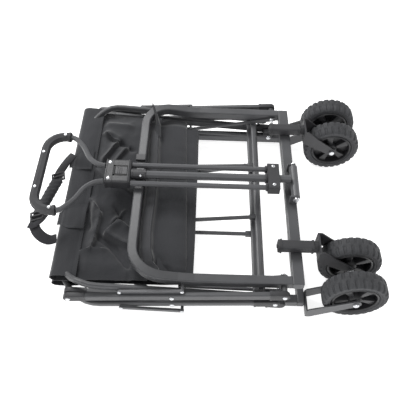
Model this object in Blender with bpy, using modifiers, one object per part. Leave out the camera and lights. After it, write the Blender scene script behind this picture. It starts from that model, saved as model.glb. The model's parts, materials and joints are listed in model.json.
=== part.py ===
"""Folding camp wagon, folded flat and lying on its rear end frame.

+X points from the handle end to the wheels, +Y across the wagon and +Z from the rear end frame to the
front one, so the front of the folded wagon faces up. Z is 0 on the surface that it lies on.
Each side has two crossed pairs of bars. u is the distance from an end frame's pivots into the wagon and
h the height above them, measured towards the top rail: see place().
"""
from math import asin, atan2, cos, pi, radians, sin

import bmesh
import bpy
from mathutils import Matrix, Vector

# ---- driving dimensions, in metres -------------------------------------------------------------------
PIVOT_X = 0.163            # bottom pivots of both end frames
MID_Z = 0.061              # middle of the folded stack, where the front and rear halves meet
HALF_GAP = 0.0315          # from the middle to an end frame's pivots, folded
LOWER_ARM = 0.2286         # end-frame pivot to the crossing pivot
UPPER_ARM = 0.2130         # crossing pivot to the shared top or bottom pivot
RAIL_ARM = 0.2417          # crossing pivot to the top rail
RAIL_OFFSET = 0.022        # the top rail is set in from its legs' line
BAR_LENGTH = LOWER_ARM + UPPER_ARM
FOLD_ANGLE = asin(HALF_GAP / BAR_LENGTH)
CLEAR = 0.0004             # gap between pieces that touch

HOOP_HALF_WIDTH = 0.250    # outside of the end frames' posts
TUBE = 0.020               # square tube of the end frames
HOOP_CORNER = 0.065
FRONT_POST_Z = 0.095
REAR_POST_Z = 0.013
FRONT_LEAN = 0.015         # the hoops lean outwards at the top, so that the top rails pass inside them
REAR_LEAN = 0.003
LEAN_START = -0.02
HOOP_TOP_X = -0.1515
FRONT_FOOT_X = 0.1795
REAR_FOOT_X = 0.2020
CROSS_BAR = 0.0245
REAR_CROSS_BAR = 0.016

INNER_PLANE = 0.2567       # front top frame and rear side bars
OUTER_PLANE = 0.2693       # front side bars and rear top frame
BAR_WIDTH = 0.011
BAR_DEPTH = 0.019
RAIL_DEPTH = 0.015
RAIL_CORNER = 0.090
LINK_ON_RAIL = 0.106       # link pivot, above the crossing pivot
LINK_ON_POST = 0.207       # link pivot, above the end frame's pivots
CROSS_TUBE_FRONT = 0.0300  # lower cross tubes, above the shared bottom pivot
CROSS_TUBE_REAR = 0.0315
CROSS_TUBE_OFFSET = 0.0080
FRONT_TUBE_HALF, REAR_TUBE_HALF = 0.0060, 0.0130

RAIL_SET_IN = 0.028         # where the rail starts to leave its legs' line, along the corner
LINK_THICKNESS = 0.0050
REAR_LINK_Y = 0.2765

FLOOR_BAR = 0.210          # floor bars: pivot to the cross rod at their free ends
FLOOR_BAR_SLOPE = {1: radians(12.1), -1: radians(2.5)}
FLOOR_BAR_PLANE = 0.2263
FLOOR_BAR_WIDTH = 0.006
FLOOR_BAR_DEPTH = 0.008
FLOOR_ROD_FOOT = {1: 0.0408, -1: 0.0492}   # their pivots, above the shared bottom pivot
CROSS_ROD_R = 0.0030
FLOOR_ROD_R = 0.0046

WHEEL_R = 0.068
WHEEL_WIDTH = 0.040
WHEEL_X = 0.3130
WHEEL_Z = 0.068
REAR_WHEEL_Y = 0.248
CASTER_Y = 0.168
CASTER_Z = 0.1185
CASTER_PLATE_X = 0.2350
TYRE_BED = 0.0490
AXLE_R = 0.004
FORK_INNER = WHEEL_WIDTH / 2 + 0.0022
FORK_THICK = 0.003

ARM_Z = 0.1328             # centre of the handle's tubes, folded
ARM_PIVOT_X = 0.1990
ARM_PIVOT_Z = 0.1225
BRACKET_Z = 0.1054
EAR_Y = 0.0445
EAR_THICK = 0.0030
SLIDE_TUBE_Y = 0.026
COLLAR_LEFT, COLLAR_RIGHT = -0.1685, -0.1355
HUB_LEFT, HUB_RIGHT = -0.2265, -0.1690
BLOCK_LEFT, BLOCK_RIGHT = 0.1365, 0.1625
BUTTON_X = -0.1900
GRIP_X = -0.3710
GRIP_R = 0.0108
GRIP_END_X = -0.3200
GRIP_HALF = 0.1055

SLEEVE_R = 0.0096          # the panels' hems turn on the top rails
SLEEVE_BORE = 0.0083
HEM_HALF = 0.158
HEM_REACH = 0.046
PANEL_LOW, PANEL_HIGH = 0.004, 0.014     # from the middle of the stack
PANEL_HALF = 0.211
PANEL_RIGHT = -0.082
CLOTH_LOW, CLOTH_HIGH = 0.0006, 0.0032
CLOTH_LEFT, CLOTH_RIGHT = -0.290, -0.130
CLOTH_HALF = 0.205
STRAP_Z = 0.0680


# ---- helpers -----------------------------------------------------------------------------------------
for old in list(bpy.data.objects):
    bpy.data.objects.remove(old)

parts = bpy.data.collections.new("folding_camp_wagon")
guides = bpy.data.collections.new("guides")
bpy.context.scene.collection.children.link(parts)
bpy.context.scene.collection.children.link(guides)

joint_places = {}


def material(name, colour, roughness, metallic=0.0):
    made = bpy.data.materials.new(name)
    made.use_nodes = True
    shader = made.node_tree.nodes["Principled BSDF"]
    shader.inputs["Base Color"].default_value = (*colour, 1.0)
    shader.inputs["Roughness"].default_value = roughness
    shader.inputs["Metallic"].default_value = metallic
    return made


def frame_steel():
    return material("frame_steel", (0.050, 0.051, 0.054), 0.38, 0.3)


def black_plastic():
    return material("black_plastic", (0.022, 0.022, 0.024), 0.50)


def zinc():
    return material("zinc", (0.62, 0.63, 0.65), 0.30, 1.0)


def tyre_rubber():
    return material("tyre_rubber", (0.030, 0.031, 0.034), 0.70)


def cloth():
    return material("cloth", (0.035, 0.036, 0.039), 0.90)


def grip_foam():
    return material("grip_foam", (0.020, 0.020, 0.022), 0.75)


def joint_empty(name, where, parent=None):
    """An empty on a joint's axis: everything that turns or slides there is its child."""
    empty = bpy.data.objects.new("axis_" + name, None)
    empty.empty_display_size = 0.02
    parts.objects.link(empty)
    joint_places[name] = (empty, Vector(where))
    empty.location = Vector(where)
    if parent:
        parent_empty, parent_place = joint_places[parent]
        empty.parent = parent_empty
        empty.location = Vector(where) - parent_place
    return empty


def attach(obj, body):
    empty, where = joint_places[body]
    obj.parent = empty
    obj.matrix_parent_inverse = Matrix.Translation(-where)
    return obj


def add(name, data, surface, body):
    obj = bpy.data.objects.new(name, data)
    parts.objects.link(obj)
    if surface:
        data.materials.append(surface)
    return attach(obj, body)


def mesh_part(name, bm, surface, body, smooth_angle=None):
    mesh = bpy.data.meshes.new(name)
    bm.to_mesh(mesh)
    bm.free()
    if smooth_angle:
        mesh.shade_smooth()
        mesh.set_sharp_from_angle(angle=radians(smooth_angle))
    return add(name, mesh, surface, body)


def add_box(bm, low, high, bevel=0.0, segments=2):
    """Adds a box given by two corners, with rounded edges, to a mesh."""
    low, high = Vector(low), Vector(high)
    middle = Matrix.Translation((low + high) / 2)
    made = bmesh.ops.create_cube(bm, size=1.0, matrix=middle @ Matrix.Diagonal((*(high - low), 1.0)))
    if bevel:
        edges = list({edge for vert in made["verts"] for edge in vert.link_edges})
        bmesh.ops.bevel(bm, geom=edges, offset=bevel, segments=segments, affect="EDGES", profile=0.5)


def add_cylinder(bm, start, end, radius, sides=16, end_radius=None):
    start, end = Vector(start), Vector(end)
    axis = end - start
    turn = axis.to_track_quat("Z", "Y").to_matrix().to_4x4()
    top = radius if end_radius is None else end_radius
    bmesh.ops.create_cone(bm, cap_ends=True, segments=sides, radius1=radius, radius2=top,
                          depth=axis.length, matrix=Matrix.Translation((start + end) / 2) @ turn)


def arc(centre, radius, start, end, steps):
    """Points of a flat arc, in degrees."""
    angles = [radians(start + (end - start) * i / steps) for i in range(steps + 1)]
    return [(centre[0] + radius * cos(a), centre[1] + radius * sin(a)) for a in angles]


def plate(name, outline, thickness, surface, body, holes=(), bevel=0.0):
    """A flat outline in the curve's own XY plane, half its thickness to each side."""
    curve = bpy.data.curves.new(name, "CURVE")
    curve.dimensions = "2D"
    curve.fill_mode = "BOTH"
    curve.extrude = thickness / 2
    for points in (outline, *holes):
        spline = curve.splines.new("POLY")
        spline.points.add(len(points) - 1)
        for point, (x, y) in zip(spline.points, points):
            point.co = (x, y, 0.0, 1.0)
        spline.use_cyclic_u = True
    obj = add(name, curve, surface, body)
    if bevel:
        weld = obj.modifiers.new("Weld", "WELD")
        weld.merge_threshold = 0.00005
        rounding = obj.modifiers.new("Bevel", "BEVEL")
        rounding.width = bevel
        rounding.segments = 2
        rounding.limit_method = "ANGLE"
        rounding.angle_limit = radians(50)
    return obj


def tube_curve(name, points, surface, body, radius=0.0, section=None, resolution=3):
    """A tube along a route: round with a radius, or with the section of a guide curve."""
    curve = bpy.data.curves.new(name, "CURVE")
    curve.dimensions = "3D"
    curve.twist_mode = "Z_UP"
    curve.use_fill_caps = True
    if section:
        curve.bevel_mode = "OBJECT"
        curve.bevel_object = section
    else:
        curve.bevel_depth = radius
        curve.bevel_resolution = resolution
    spline = curve.splines.new("POLY")
    spline.points.add(len(points) - 1)
    for point, co in zip(spline.points, points):
        point.co = (*co, 1.0)
    spline.use_smooth = True
    return add(name, curve, surface, body)


def section_guide(name, width, height, corner, steps=2):
    """A rounded rectangle that tubes are swept with."""
    curve = bpy.data.curves.new(name, "CURVE")
    curve.dimensions = "2D"
    half_w, half_h = width / 2 - corner, height / 2 - corner
    points = []
    for sx, sy, start in ((1, 1, 0), (-1, 1, 90), (-1, -1, 180), (1, -1, 270)):
        points += arc((sx * half_w, sy * half_h), corner, start, start + 90, steps)
    spline = curve.splines.new("POLY")
    spline.points.add(len(points) - 1)
    for point, (x, y) in zip(spline.points, points):
        point.co = (x, y, 0.0, 1.0)
    spline.use_cyclic_u = True
    guide = bpy.data.objects.new(name, curve)
    guides.objects.link(guide)
    guide.hide_render = True
    guide.display_type = "WIRE"
    return guide


def as_mesh(obj, body):
    """Turns a curve into a mesh with welded caps, so that a Boolean can use it."""
    name = obj.name
    evaluated = obj.evaluated_get(bpy.context.evaluated_depsgraph_get())
    mesh = bpy.data.meshes.new_from_object(evaluated)
    bm = bmesh.new()
    bm.from_mesh(mesh)
    bmesh.ops.remove_doubles(bm, verts=bm.verts, dist=0.00002)
    bmesh.ops.recalc_face_normals(bm, faces=bm.faces)
    bm.to_mesh(mesh)
    bm.free()
    where = obj.matrix_basis.copy()
    bpy.data.objects.remove(obj)
    made = bpy.data.objects.new(name, mesh)
    parts.objects.link(made)
    attach(made, body)
    made.matrix_basis = where
    return made


def merge(obj, label, bm, body, operation="UNION"):
    """Joins a shape to a solid, or cuts it away, with a Boolean; the shape shares the solid's placing."""
    mesh = bpy.data.meshes.new(obj.name + "_" + label)
    bm.to_mesh(mesh)
    bm.free()
    guide = bpy.data.objects.new(obj.name + "_" + label, mesh)
    guides.objects.link(guide)
    guide.hide_render = True
    guide.display_type = "WIRE"
    attach(guide, body)
    guide.matrix_basis = obj.matrix_basis.copy()
    boolean = obj.modifiers.new(label, "BOOLEAN")
    boolean.operation = operation
    boolean.object = guide


def outline_solid(name, outline, thickness, surface, body, bevel=0.0):
    """A flat outline extruded along its own Z, half its thickness to each side."""
    bm = bmesh.new()
    base = bm.faces.new([bm.verts.new((x, y, -thickness / 2)) for x, y in outline])
    lifted = bmesh.ops.extrude_face_region(bm, geom=[base])["geom"]
    moved = [item for item in lifted if isinstance(item, bmesh.types.BMVert)]
    bmesh.ops.translate(bm, verts=moved, vec=(0, 0, thickness))
    bmesh.ops.recalc_face_normals(bm, faces=bm.faces)
    if bevel:
        sharp = [edge for edge in bm.edges if edge.calc_face_angle(0) > radians(60)]
        bmesh.ops.bevel(bm, geom=sharp, offset=bevel, segments=2, affect="EDGES", profile=0.5)
    return mesh_part(name, bm, surface, body, 40)


def place(end, u, h, y):
    """A point of the front (end 1) or rear (end -1) half, from the end frame's pivots."""
    return Vector((PIVOT_X - h, y, MID_Z + end * (HALF_GAP - u)))


def rail_point(end, along, y, offset=0.0):
    """A point on a top frame: along its leg from the crossing pivot, and set in from the leg's line."""
    u = (LOWER_ARM - along) * sin(FOLD_ANGLE) + offset * cos(FOLD_ANGLE)
    h = (LOWER_ARM + along) * cos(FOLD_ANGLE) + offset * sin(FOLD_ANGLE)
    return place(end, u, h, y)


def floor_rod_foot(end):
    return rail_point(end, FLOOR_ROD_FOOT[end] - UPPER_ARM, 0, -CROSS_TUBE_OFFSET)


def bar_point(end, along, y):
    """A point on a side bar, along it from the end frame's pivot."""
    return place(end, along * sin(FOLD_ANGLE), along * cos(FOLD_ANGLE), y)


def lean(z, x, amount):
    """Height of a hoop's centre line: straight at the foot and leaning outwards above LEAN_START."""
    along = max(0.0, (LEAN_START - x) / (LEAN_START - HOOP_TOP_X))
    return z + amount * along * along * (3 - 2 * along)


# ---- joints: one empty on each axis ------------------------------------------------------------------
joint_empty("rear_frame", (PIVOT_X, 0, REAR_POST_Z))
joint_empty("rear_side_bars", place(-1, 0, 0, 0), "rear_frame")
joint_empty("rear_top", bar_point(-1, LOWER_ARM, 0), "rear_side_bars")
joint_empty("front_top", rail_point(1, -UPPER_ARM, 0), "rear_top")
joint_empty("front_side_bars", bar_point(1, LOWER_ARM, 0), "front_top")
joint_empty("front_frame", place(1, 0, 0, 0), "front_side_bars")
joint_empty("front_links", place(1, 0, LINK_ON_POST, 0), "front_frame")
joint_empty("rear_links", place(-1, 0, LINK_ON_POST, 0), "rear_frame")
joint_empty("front_floor_bars", place(1, 0, 0, 0), "front_frame")
joint_empty("rear_floor_bars", place(-1, 0, 0, 0), "rear_frame")
joint_empty("front_floor_rods", floor_rod_foot(1), "front_top")
joint_empty("rear_floor_rods", floor_rod_foot(-1), "rear_top")
joint_empty("front_panel", rail_point(1, RAIL_ARM, 0, RAIL_OFFSET), "front_top")
joint_empty("rear_panel", rail_point(-1, RAIL_ARM, 0, RAIL_OFFSET), "rear_top")
joint_empty("front_cloth", (-0.210, 0, MID_Z), "front_panel")
joint_empty("rear_cloth", (-0.210, 0, MID_Z), "rear_panel")
for side_name, side in (("near", -1), ("far", 1)):
    joint_empty("caster_" + side_name, (WHEEL_X, side * CASTER_Y, CASTER_Z), "front_frame")
    joint_empty("caster_wheel_" + side_name, (WHEEL_X, side * CASTER_Y, WHEEL_Z), "caster_" + side_name)
    joint_empty("rear_wheel_" + side_name, (WHEEL_X, side * REAR_WHEEL_Y, WHEEL_Z), "rear_frame")
joint_empty("handle_arm", (ARM_PIVOT_X, 0, ARM_PIVOT_Z), "front_frame")
joint_empty("handle_slide", (BLOCK_LEFT, 0, ARM_Z), "handle_arm")
joint_empty("handle_button", (-0.190, 0, ARM_Z + 0.012), "handle_slide")


# ---- end frames --------------------------------------------------------------------------------------
def hoop(name, post_z, amount, foot_x, body):
    """A bent hoop: two posts and a top bar with rounded corners."""
    centre = HOOP_HALF_WIDTH - TUBE / 2
    top_x = HOOP_TOP_X
    corner_x = top_x + HOOP_CORNER
    flat = [(foot_x, -centre), (0.06, -centre), (LEAN_START, -centre), (-0.055, -centre)]
    flat += arc((corner_x, HOOP_CORNER - centre), HOOP_CORNER, 270, 180, 8)
    flat += [(x, -y) for x, y in reversed(flat)]
    route = [(x, y, lean(post_z, x, amount)) for x, y in flat]
    tube = tube_curve(name, route, frame_steel(), body, section=square_section)
    return as_mesh(tube, body)


def cross_bar(name, low_x, width, z, depth, body):
    bm = bmesh.new()
    add_box(bm, (low_x, -HOOP_HALF_WIDTH, z - depth / 2), (low_x + width, HOOP_HALF_WIDTH, z + depth / 2),
            bevel=0.0022)
    return mesh_part(name, bm, frame_steel(), body, 40)


def front_pins():
    """Bushes that the side bars turn on, and the pins of the links."""
    bm = bmesh.new()
    for side in (-1, 1):
        for h, radius in ((0.0, 0.0065), (LINK_ON_POST, 0.0038)):
            x, _, z = place(1, 0, h, 0)
            inner, outer = HOOP_HALF_WIDTH - 0.006, OUTER_PLANE - BAR_WIDTH / 2 - CLEAR
            add_cylinder(bm, (x, side * inner, z), (x, side * outer, z), radius)
    return bm


def rear_lugs():
    """Blocks on the front of the rear posts that the side bars and links turn on."""
    bm = bmesh.new()
    for side in (-1, 1):
        low_y, high_y = sorted((side * (HOOP_HALF_WIDTH - 0.017), side * (HOOP_HALF_WIDTH - 0.0005)))
        for h, half, rise in ((0.0, 0.013, 0.006), (LINK_ON_POST, 0.005, 0.004)):
            x, _, z = place(-1, 0, h, 0)
            add_box(bm, (x - half, low_y, REAR_POST_Z), (x + half, high_y, z + rise), bevel=0.0015)
    return bm


def rear_pins():
    bm = bmesh.new()
    for side in (-1, 1):
        for h, radius, reach in ((0.0, 0.0045, INNER_PLANE - BAR_WIDTH / 2 - CLEAR),
                                 (LINK_ON_POST, 0.0032, REAR_LINK_Y - CLEAR)):
            x, _, z = place(-1, 0, h, 0)
            add_cylinder(bm, (x, side * (HOOP_HALF_WIDTH - 0.006), z), (x, side * reach, z), radius)
    return bm


square_section = section_guide("square_tube_section", TUBE, TUBE, 0.0025)
rail_section = section_guide("rail_section", BAR_WIDTH, RAIL_DEPTH, 0.004)

front_hoop = hoop("front_hoop", FRONT_POST_Z, FRONT_LEAN, FRONT_FOOT_X - CLEAR, "front_frame")
merge(front_hoop, "pins", front_pins(), "front_frame")
rear_hoop = hoop("rear_hoop", REAR_POST_Z, -REAR_LEAN, REAR_FOOT_X - CLEAR, "rear_frame")
merge(rear_hoop, "lugs", rear_lugs(), "rear_frame")
merge(rear_hoop, "pins", rear_pins(), "rear_frame")
cross_bar("front_cross_bar", FRONT_FOOT_X, CROSS_BAR, FRONT_POST_Z, TUBE, "front_frame")
cross_bar("rear_cross_bar", REAR_FOOT_X, REAR_CROSS_BAR, REAR_POST_Z, TUBE, "rear_frame")


# ---- scissor bars ------------------------------------------------------------------------------------
def stadium(length, radius, steps=6):
    """Outline of a bar with round ends, whose end centres are the origin and x = length."""
    return arc((0, 0), radius, 90, 270, steps) + arc((length, 0), radius, -90, 90, steps)


def aim(start, end, y):
    """Places an outline drawn along +X so that it runs from start towards end, in the plane at y."""
    along = (Vector(end) - Vector(start)).normalized()
    across = Vector((0, 1, 0))
    turn = Matrix((along, along.cross(across), -across)).transposed().to_4x4()
    return Matrix.Translation(Vector((start[0], y, start[2]))) @ turn


def flat_bar(name, start, stop, radius, y, thickness, body, bevel=0.0):
    obj = outline_solid(name, stadium((stop - start).length, radius), thickness, frame_steel(), body, bevel)
    obj.matrix_basis = aim(start, stop, y)
    return obj


for end, label, plane in ((1, "front", OUTER_PLANE), (-1, "rear", INNER_PLANE)):
    for side_name, side in (("near", -1), ("far", 1)):
        flat_bar(f"{label}_side_bar_{side_name}", bar_point(end, 0, 0), bar_point(end, BAR_LENGTH, 0),
                 BAR_DEPTH / 2, side * plane, BAR_WIDTH, label + "_side_bars", 0.0025)


# ---- top frames --------------------------------------------------------------------------------------
def top_frame(name, end, plane, body):
    """A U-shaped frame: two legs that end at the shared bottom pivot, and the top rail set in between."""
    corner_start = RAIL_ARM - RAIL_CORNER
    flat = [(-UPPER_ARM - RAIL_DEPTH / 2, -plane), (-0.05, -plane), (0.08, -plane)]
    flat += [(corner_start + y, plane_y) for plane_y, y in
             ((-(plane - RAIL_CORNER) - RAIL_CORNER * cos(a), RAIL_CORNER * sin(a))
              for a in (radians(10 * i) for i in range(10)))]
    flat += [(s, -y) for s, y in reversed(flat)]
    route = []
    for s, y in flat:
        drop = max(0.0, (s - corner_start - RAIL_SET_IN) / (RAIL_CORNER - RAIL_SET_IN))
        route.append(rail_point(end, s, y, RAIL_OFFSET * drop * drop * (3 - 2 * drop)))
    return as_mesh(tube_curve(name, route, frame_steel(), body, section=rail_section), body)


def lower_cross_tube(name, end, above_pivot, half_width, body):
    centre = rail_point(end, above_pivot - UPPER_ARM, 0, -CROSS_TUBE_OFFSET)
    half = Vector((half_width, INNER_PLANE - BAR_WIDTH / 2 - CLEAR, 0.0056))
    bm = bmesh.new()
    add_box(bm, centre - half, centre + half, bevel=0.0035)
    return mesh_part(name, bm, frame_steel(), body, 40)


for end, label, plane, above, half in ((1, "front", INNER_PLANE, CROSS_TUBE_FRONT, FRONT_TUBE_HALF),
                                       (-1, "rear", OUTER_PLANE, CROSS_TUBE_REAR, REAR_TUBE_HALF)):
    top_frame(label + "_top_frame", end, plane, label + "_top")
    lower_cross_tube(label + "_lower_cross_tube", end, above, half, label + "_top")

for side_name, side in (("near", -1), ("far", 1)):
    for end, label, low_y in ((1, "front", OUTER_PLANE - BAR_WIDTH / 2), (-1, "rear", REAR_LINK_Y)):
        post, rail = place(end, 0, LINK_ON_POST, 0), rail_point(end, LINK_ON_RAIL, 0)
        flat_bar(f"{label}_link_{side_name}", post, rail, 0.0042, side * (low_y + LINK_THICKNESS / 2),
                 LINK_THICKNESS, label + "_links")


# ---- floor supports ----------------------------------------------------------------------------------
def floor_bars(name, end, body):
    """Two bars hinged inside the posts, and the cross rod that joins their free ends."""
    centre, half, deep = FLOOR_BAR_PLANE, FLOOR_BAR_WIDTH / 2, FLOOR_BAR_DEPTH / 2
    bm = bmesh.new()
    add_box(bm, (-FLOOR_BAR - 0.008, -centre - half, -deep), (0.009, half - centre, deep), bevel=0.0015)
    obj = mesh_part(name, bm, frame_steel(), body, 40)
    slope = Matrix.Rotation(-end * FLOOR_BAR_SLOPE[end], 4, "Y")
    obj.matrix_basis = Matrix.Translation(place(end, 0, 0, 0)) @ slope
    far_bar = bmesh.new()
    add_box(far_bar, (-FLOOR_BAR - 0.008, centre - half, -deep), (0.009, centre + half, deep), bevel=0.0015)
    merge(obj, "far_bar", far_bar, body)
    rod = bmesh.new()
    add_cylinder(rod, (-FLOOR_BAR, -centre, 0), (-FLOOR_BAR, centre, 0), CROSS_ROD_R, 10)
    merge(obj, "cross_rod", rod, body)
    return obj


def floor_rods(name, end, middle, foot_half, apex_half, body):
    """A U of rod hinged on the lower cross tube; its closed end lies on the floor bars' cross rod."""
    foot = floor_rod_foot(end)
    slope = FLOOR_BAR_SLOPE[end]
    beside = CROSS_ROD_R + FLOOR_ROD_R + CLEAR
    apex = place(end, FLOOR_BAR * sin(slope) - beside, FLOOR_BAR * cos(slope), 0)
    along = (apex - foot).normalized()
    stop = apex + along * 0.008
    bend = stop - along * 0.010
    inward = Vector((0, 0.010, 0))
    near_foot, far_foot = (foot + Vector((0, middle + side * foot_half, 0)) for side in (-1, 1))
    near_bend, far_bend = (bend + Vector((0, middle + side * apex_half, 0)) for side in (-1, 1))
    near_stop, far_stop = (stop + Vector((0, middle + side * apex_half, 0)) for side in (-1, 1))
    route = [near_foot, (near_foot + near_bend) / 2, near_bend, near_stop + inward,
             far_stop - inward, far_bend, (far_foot + far_bend) / 2, far_foot]
    return tube_curve(name, route, frame_steel(), body, radius=FLOOR_ROD_R, resolution=2)


floor_bars("front_floor_bars", 1, "front_floor_bars")
floor_bars("rear_floor_bars", -1, "rear_floor_bars")
floor_rods("front_floor_rods", 1, 0.012, 0.076, 0.080, "front_floor_rods")
floor_rods("rear_floor_rods", -1, 0.004, 0.100, 0.088, "rear_floor_rods")


# ---- wheels ------------------------------------------------------------------------------------------
def turned(name, profile, surface, body, where, steps=32):
    """A shape turned about the Y axis at a place: profile points are (radius, distance along Y)."""
    mesh = bpy.data.meshes.new(name)
    count = len(profile)
    mesh.from_pydata([(r, 0, d) for r, d in profile], [(i, (i + 1) % count) for i in range(count)], [])
    obj = add(name, mesh, surface, body)
    screw = obj.modifiers.new("Screw", "SCREW")
    screw.steps = steps
    screw.render_steps = steps
    screw.use_merge_vertices = True
    screw.merge_threshold = 0.00002
    screw.use_smooth_shade = False
    obj.matrix_basis = Matrix.Translation(Vector(where)) @ Matrix.Rotation(-pi / 2, 4, "X")
    return obj


def tyre(name, where, body):
    """A solid rubber tyre with rounded shoulders; its bore sits on the rim's bed."""
    half = WHEEL_WIDTH / 2
    outer = [(TYRE_BED, half - 0.003), (WHEEL_R - 0.009, half), (WHEEL_R - 0.002, half - 0.005),
             (WHEEL_R, half - 0.011)]
    profile = outer + [(r, -d) for r, d in reversed(outer)]
    return turned(name, profile, tyre_rubber(), body, where)


def rim(name, where, body):
    """A plastic rim dished on both sides, with a hub that carries the axle's bore."""
    half = WHEEL_WIDTH / 2
    bed = TYRE_BED - CLEAR
    outer = [(AXLE_R + CLEAR, half - 0.0015), (0.0140, half - 0.0015), (0.0155, half - 0.0055),
             (0.0435, half - 0.0055), (0.0450, half - 0.003), (bed, half - 0.003)]
    profile = outer + [(r, -d) for r, d in reversed(outer)]
    return turned(name, profile, black_plastic(), body, where)


def axle(name, where, body):
    """A bolt through the wheel, with its head and nut outside the fork's arms."""
    reach = FORK_INNER + FORK_THICK + CLEAR
    profile = [(0.0, reach + 0.0040), (0.0054, reach + 0.0040), (0.0064, reach + 0.0028), (0.0064, reach),
               (AXLE_R, reach), (AXLE_R, -reach), (0.0064, -reach), (0.0064, -reach - 0.0028),
               (0.0054, -reach - 0.0040), (0.0, -reach - 0.0040)]
    return turned(name, profile, zinc(), body, where, 12)


def fork(name, outline, hub, plate_box, surface, body, where, stem=()):
    """Two flat arms beside a wheel, joined by a plate; outline and hub are (X, Z) from the place."""
    thick = FORK_THICK
    obj = outline_solid(name, outline, thick, surface, body)
    stand = Matrix.Translation(Vector(where)) @ Matrix.Rotation(pi / 2, 4, "X")
    shift = FORK_INNER + thick / 2
    for vert in obj.data.vertices:
        vert.co.z += shift
    obj.matrix_basis = stand
    other = bmesh.new()
    other.from_mesh(obj.data)
    bmesh.ops.translate(other, verts=other.verts, vec=(0, 0, -2 * shift))
    merge(obj, "other_arm", other, body)
    (low_x, low_z), (high_x, high_z) = plate_box
    bridge = bmesh.new()
    add_box(bridge, (low_x, low_z, -FORK_INNER - thick), (high_x, high_z, FORK_INNER + thick))
    merge(obj, "bridge", bridge, body)
    for index, (start, stop, radius) in enumerate(stem):
        shaft = bmesh.new()
        add_cylinder(shaft, (start, 0, 0), (stop, 0, 0), radius)
        merge(obj, f"stem_{index}", shaft, body)
    bore = bmesh.new()
    reach = FORK_INNER + 2 * thick
    add_cylinder(bore, (hub[0], hub[1], -reach), (hub[0], hub[1], reach), AXLE_R + CLEAR, 16)
    merge(obj, "bore", bore, body, "DIFFERENCE")
    return obj


def rear_fork(name, side, body):
    """A strip bent round the rear wheel, bolted to the outer face of the cross bar."""
    foot = Vector((REAR_FOOT_X + REAR_CROSS_BAR + CLEAR, side * REAR_WHEEL_Y, REAR_POST_Z))
    hub = (WHEEL_X - foot.x, WHEEL_Z - foot.z)
    lean_angle = atan2(hub[1] - 0.010, hub[0])
    half = 0.0115
    across = (-half * sin(lean_angle), half * cos(lean_angle))
    turn = round(lean_angle * 180 / pi)
    outline = arc(hub, half, turn - 90, turn + 90, 6)
    outline += [(0.004, 0.010 + across[1] + 0.002), (0.0, 0.016), (0.0, -0.008), (0.010, -0.008)]
    return fork(name, outline, hub, ((0.0002, -0.0078), (0.0032, 0.0150)), frame_steel(), body, foot)


def caster_fork(name, side, body):
    """A stem and top plate, with two tapered arms that trail to the wheel's axle."""
    where = Vector((CASTER_PLATE_X, side * CASTER_Y, CASTER_Z))
    hub = (WHEEL_X - where.x, WHEEL_Z - where.z)
    outline = arc(hub, 0.0105, -120, 60, 6)
    outline += [(hub[0] * 0.45, -0.006), (0.010, 0.016), (0.0, 0.016), (0.0, -0.020), (0.010, -0.026)]
    stem = ((0.002, -0.0080, 0.0125), (-0.0075, -0.0770, 0.0055))
    return fork(name, outline, hub, ((0.0002, -0.0198), (0.0040, 0.0158)), black_plastic(), body, where, stem)


def rounded_outline(half_x, half_y, corner, steps=3):
    points = []
    for sx, sy, start in ((1, 1, 0), (-1, 1, 90), (-1, -1, 180), (1, -1, 270)):
        points += arc((sx * (half_x - corner), sy * (half_y - corner)), corner, start, start + 90, steps)
    return points


def bored_block(name, left, right, half_y, half_z, y, z, bores, surface, body, corner=0.004):
    """A block that lies along X with round-edged section; bores are (y, radius) from its middle."""
    holes = [arc((0, offset), radius, 0, 342, 19) for offset, radius in bores]
    obj = plate(name, rounded_outline(half_z, half_y, corner), right - left, surface, body, holes)
    obj.matrix_basis = Matrix.Translation(((left + right) / 2, y, z)) @ Matrix.Rotation(pi / 2, 4, "Y")
    return obj


for side_name, side in (("near", -1), ("far", 1)):
    rear_hub = (WHEEL_X, side * REAR_WHEEL_Y, WHEEL_Z)
    tyre("rear_tyre_" + side_name, rear_hub, "rear_wheel_" + side_name)
    rim("rear_rim_" + side_name, rear_hub, "rear_wheel_" + side_name)
    rear_fork("rear_fork_" + side_name, side, "rear_frame")
    axle("rear_axle_" + side_name, rear_hub, "rear_frame")
    caster_hub = (WHEEL_X, side * CASTER_Y, WHEEL_Z)
    tyre("caster_tyre_" + side_name, caster_hub, "caster_wheel_" + side_name)
    rim("caster_rim_" + side_name, caster_hub, "caster_wheel_" + side_name)
    caster_fork("caster_fork_" + side_name, side, "caster_" + side_name)
    axle("caster_axle_" + side_name, caster_hub, "caster_" + side_name)
    bored_block("caster_housing_" + side_name, 0.1560, CASTER_PLATE_X - 0.0084, 0.0105, 0.0105,
                side * CASTER_Y, CASTER_Z, ((0.0, 0.0061),), black_plastic(), "front_frame")


# ---- pull handle -------------------------------------------------------------------------------------
def ear_outline():
    """The bracket seen along X: a base with an ear at each end, in (Z, Y)."""
    top = ARM_PIVOT_Z + 0.009 - BRACKET_Z
    inner, outer = EAR_Y, EAR_Y + EAR_THICK
    return [(0, -outer), (top, -outer), (top, -inner), (EAR_THICK, -inner), (EAR_THICK, inner), (top, inner),
            (top, outer), (0, outer)]


bracket = outline_solid("handle_bracket", [(y, z) for z, y in ear_outline()], 0.018, frame_steel(),
                        "front_frame")
bracket.matrix_basis = Matrix.Translation((ARM_PIVOT_X - 0.004, 0, BRACKET_Z)) @ Matrix((
    (0, 0, 1, 0), (1, 0, 0, 0), (0, 1, 0, 0), (0, 0, 0, 1)))
ear_bore = bmesh.new()
add_cylinder(ear_bore, (-0.06, ARM_PIVOT_Z - BRACKET_Z, 0.004), (0.06, ARM_PIVOT_Z - BRACKET_Z, 0.004),
             AXLE_R + CLEAR)
merge(bracket, "bore", ear_bore, "front_frame", "DIFFERENCE")

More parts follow.
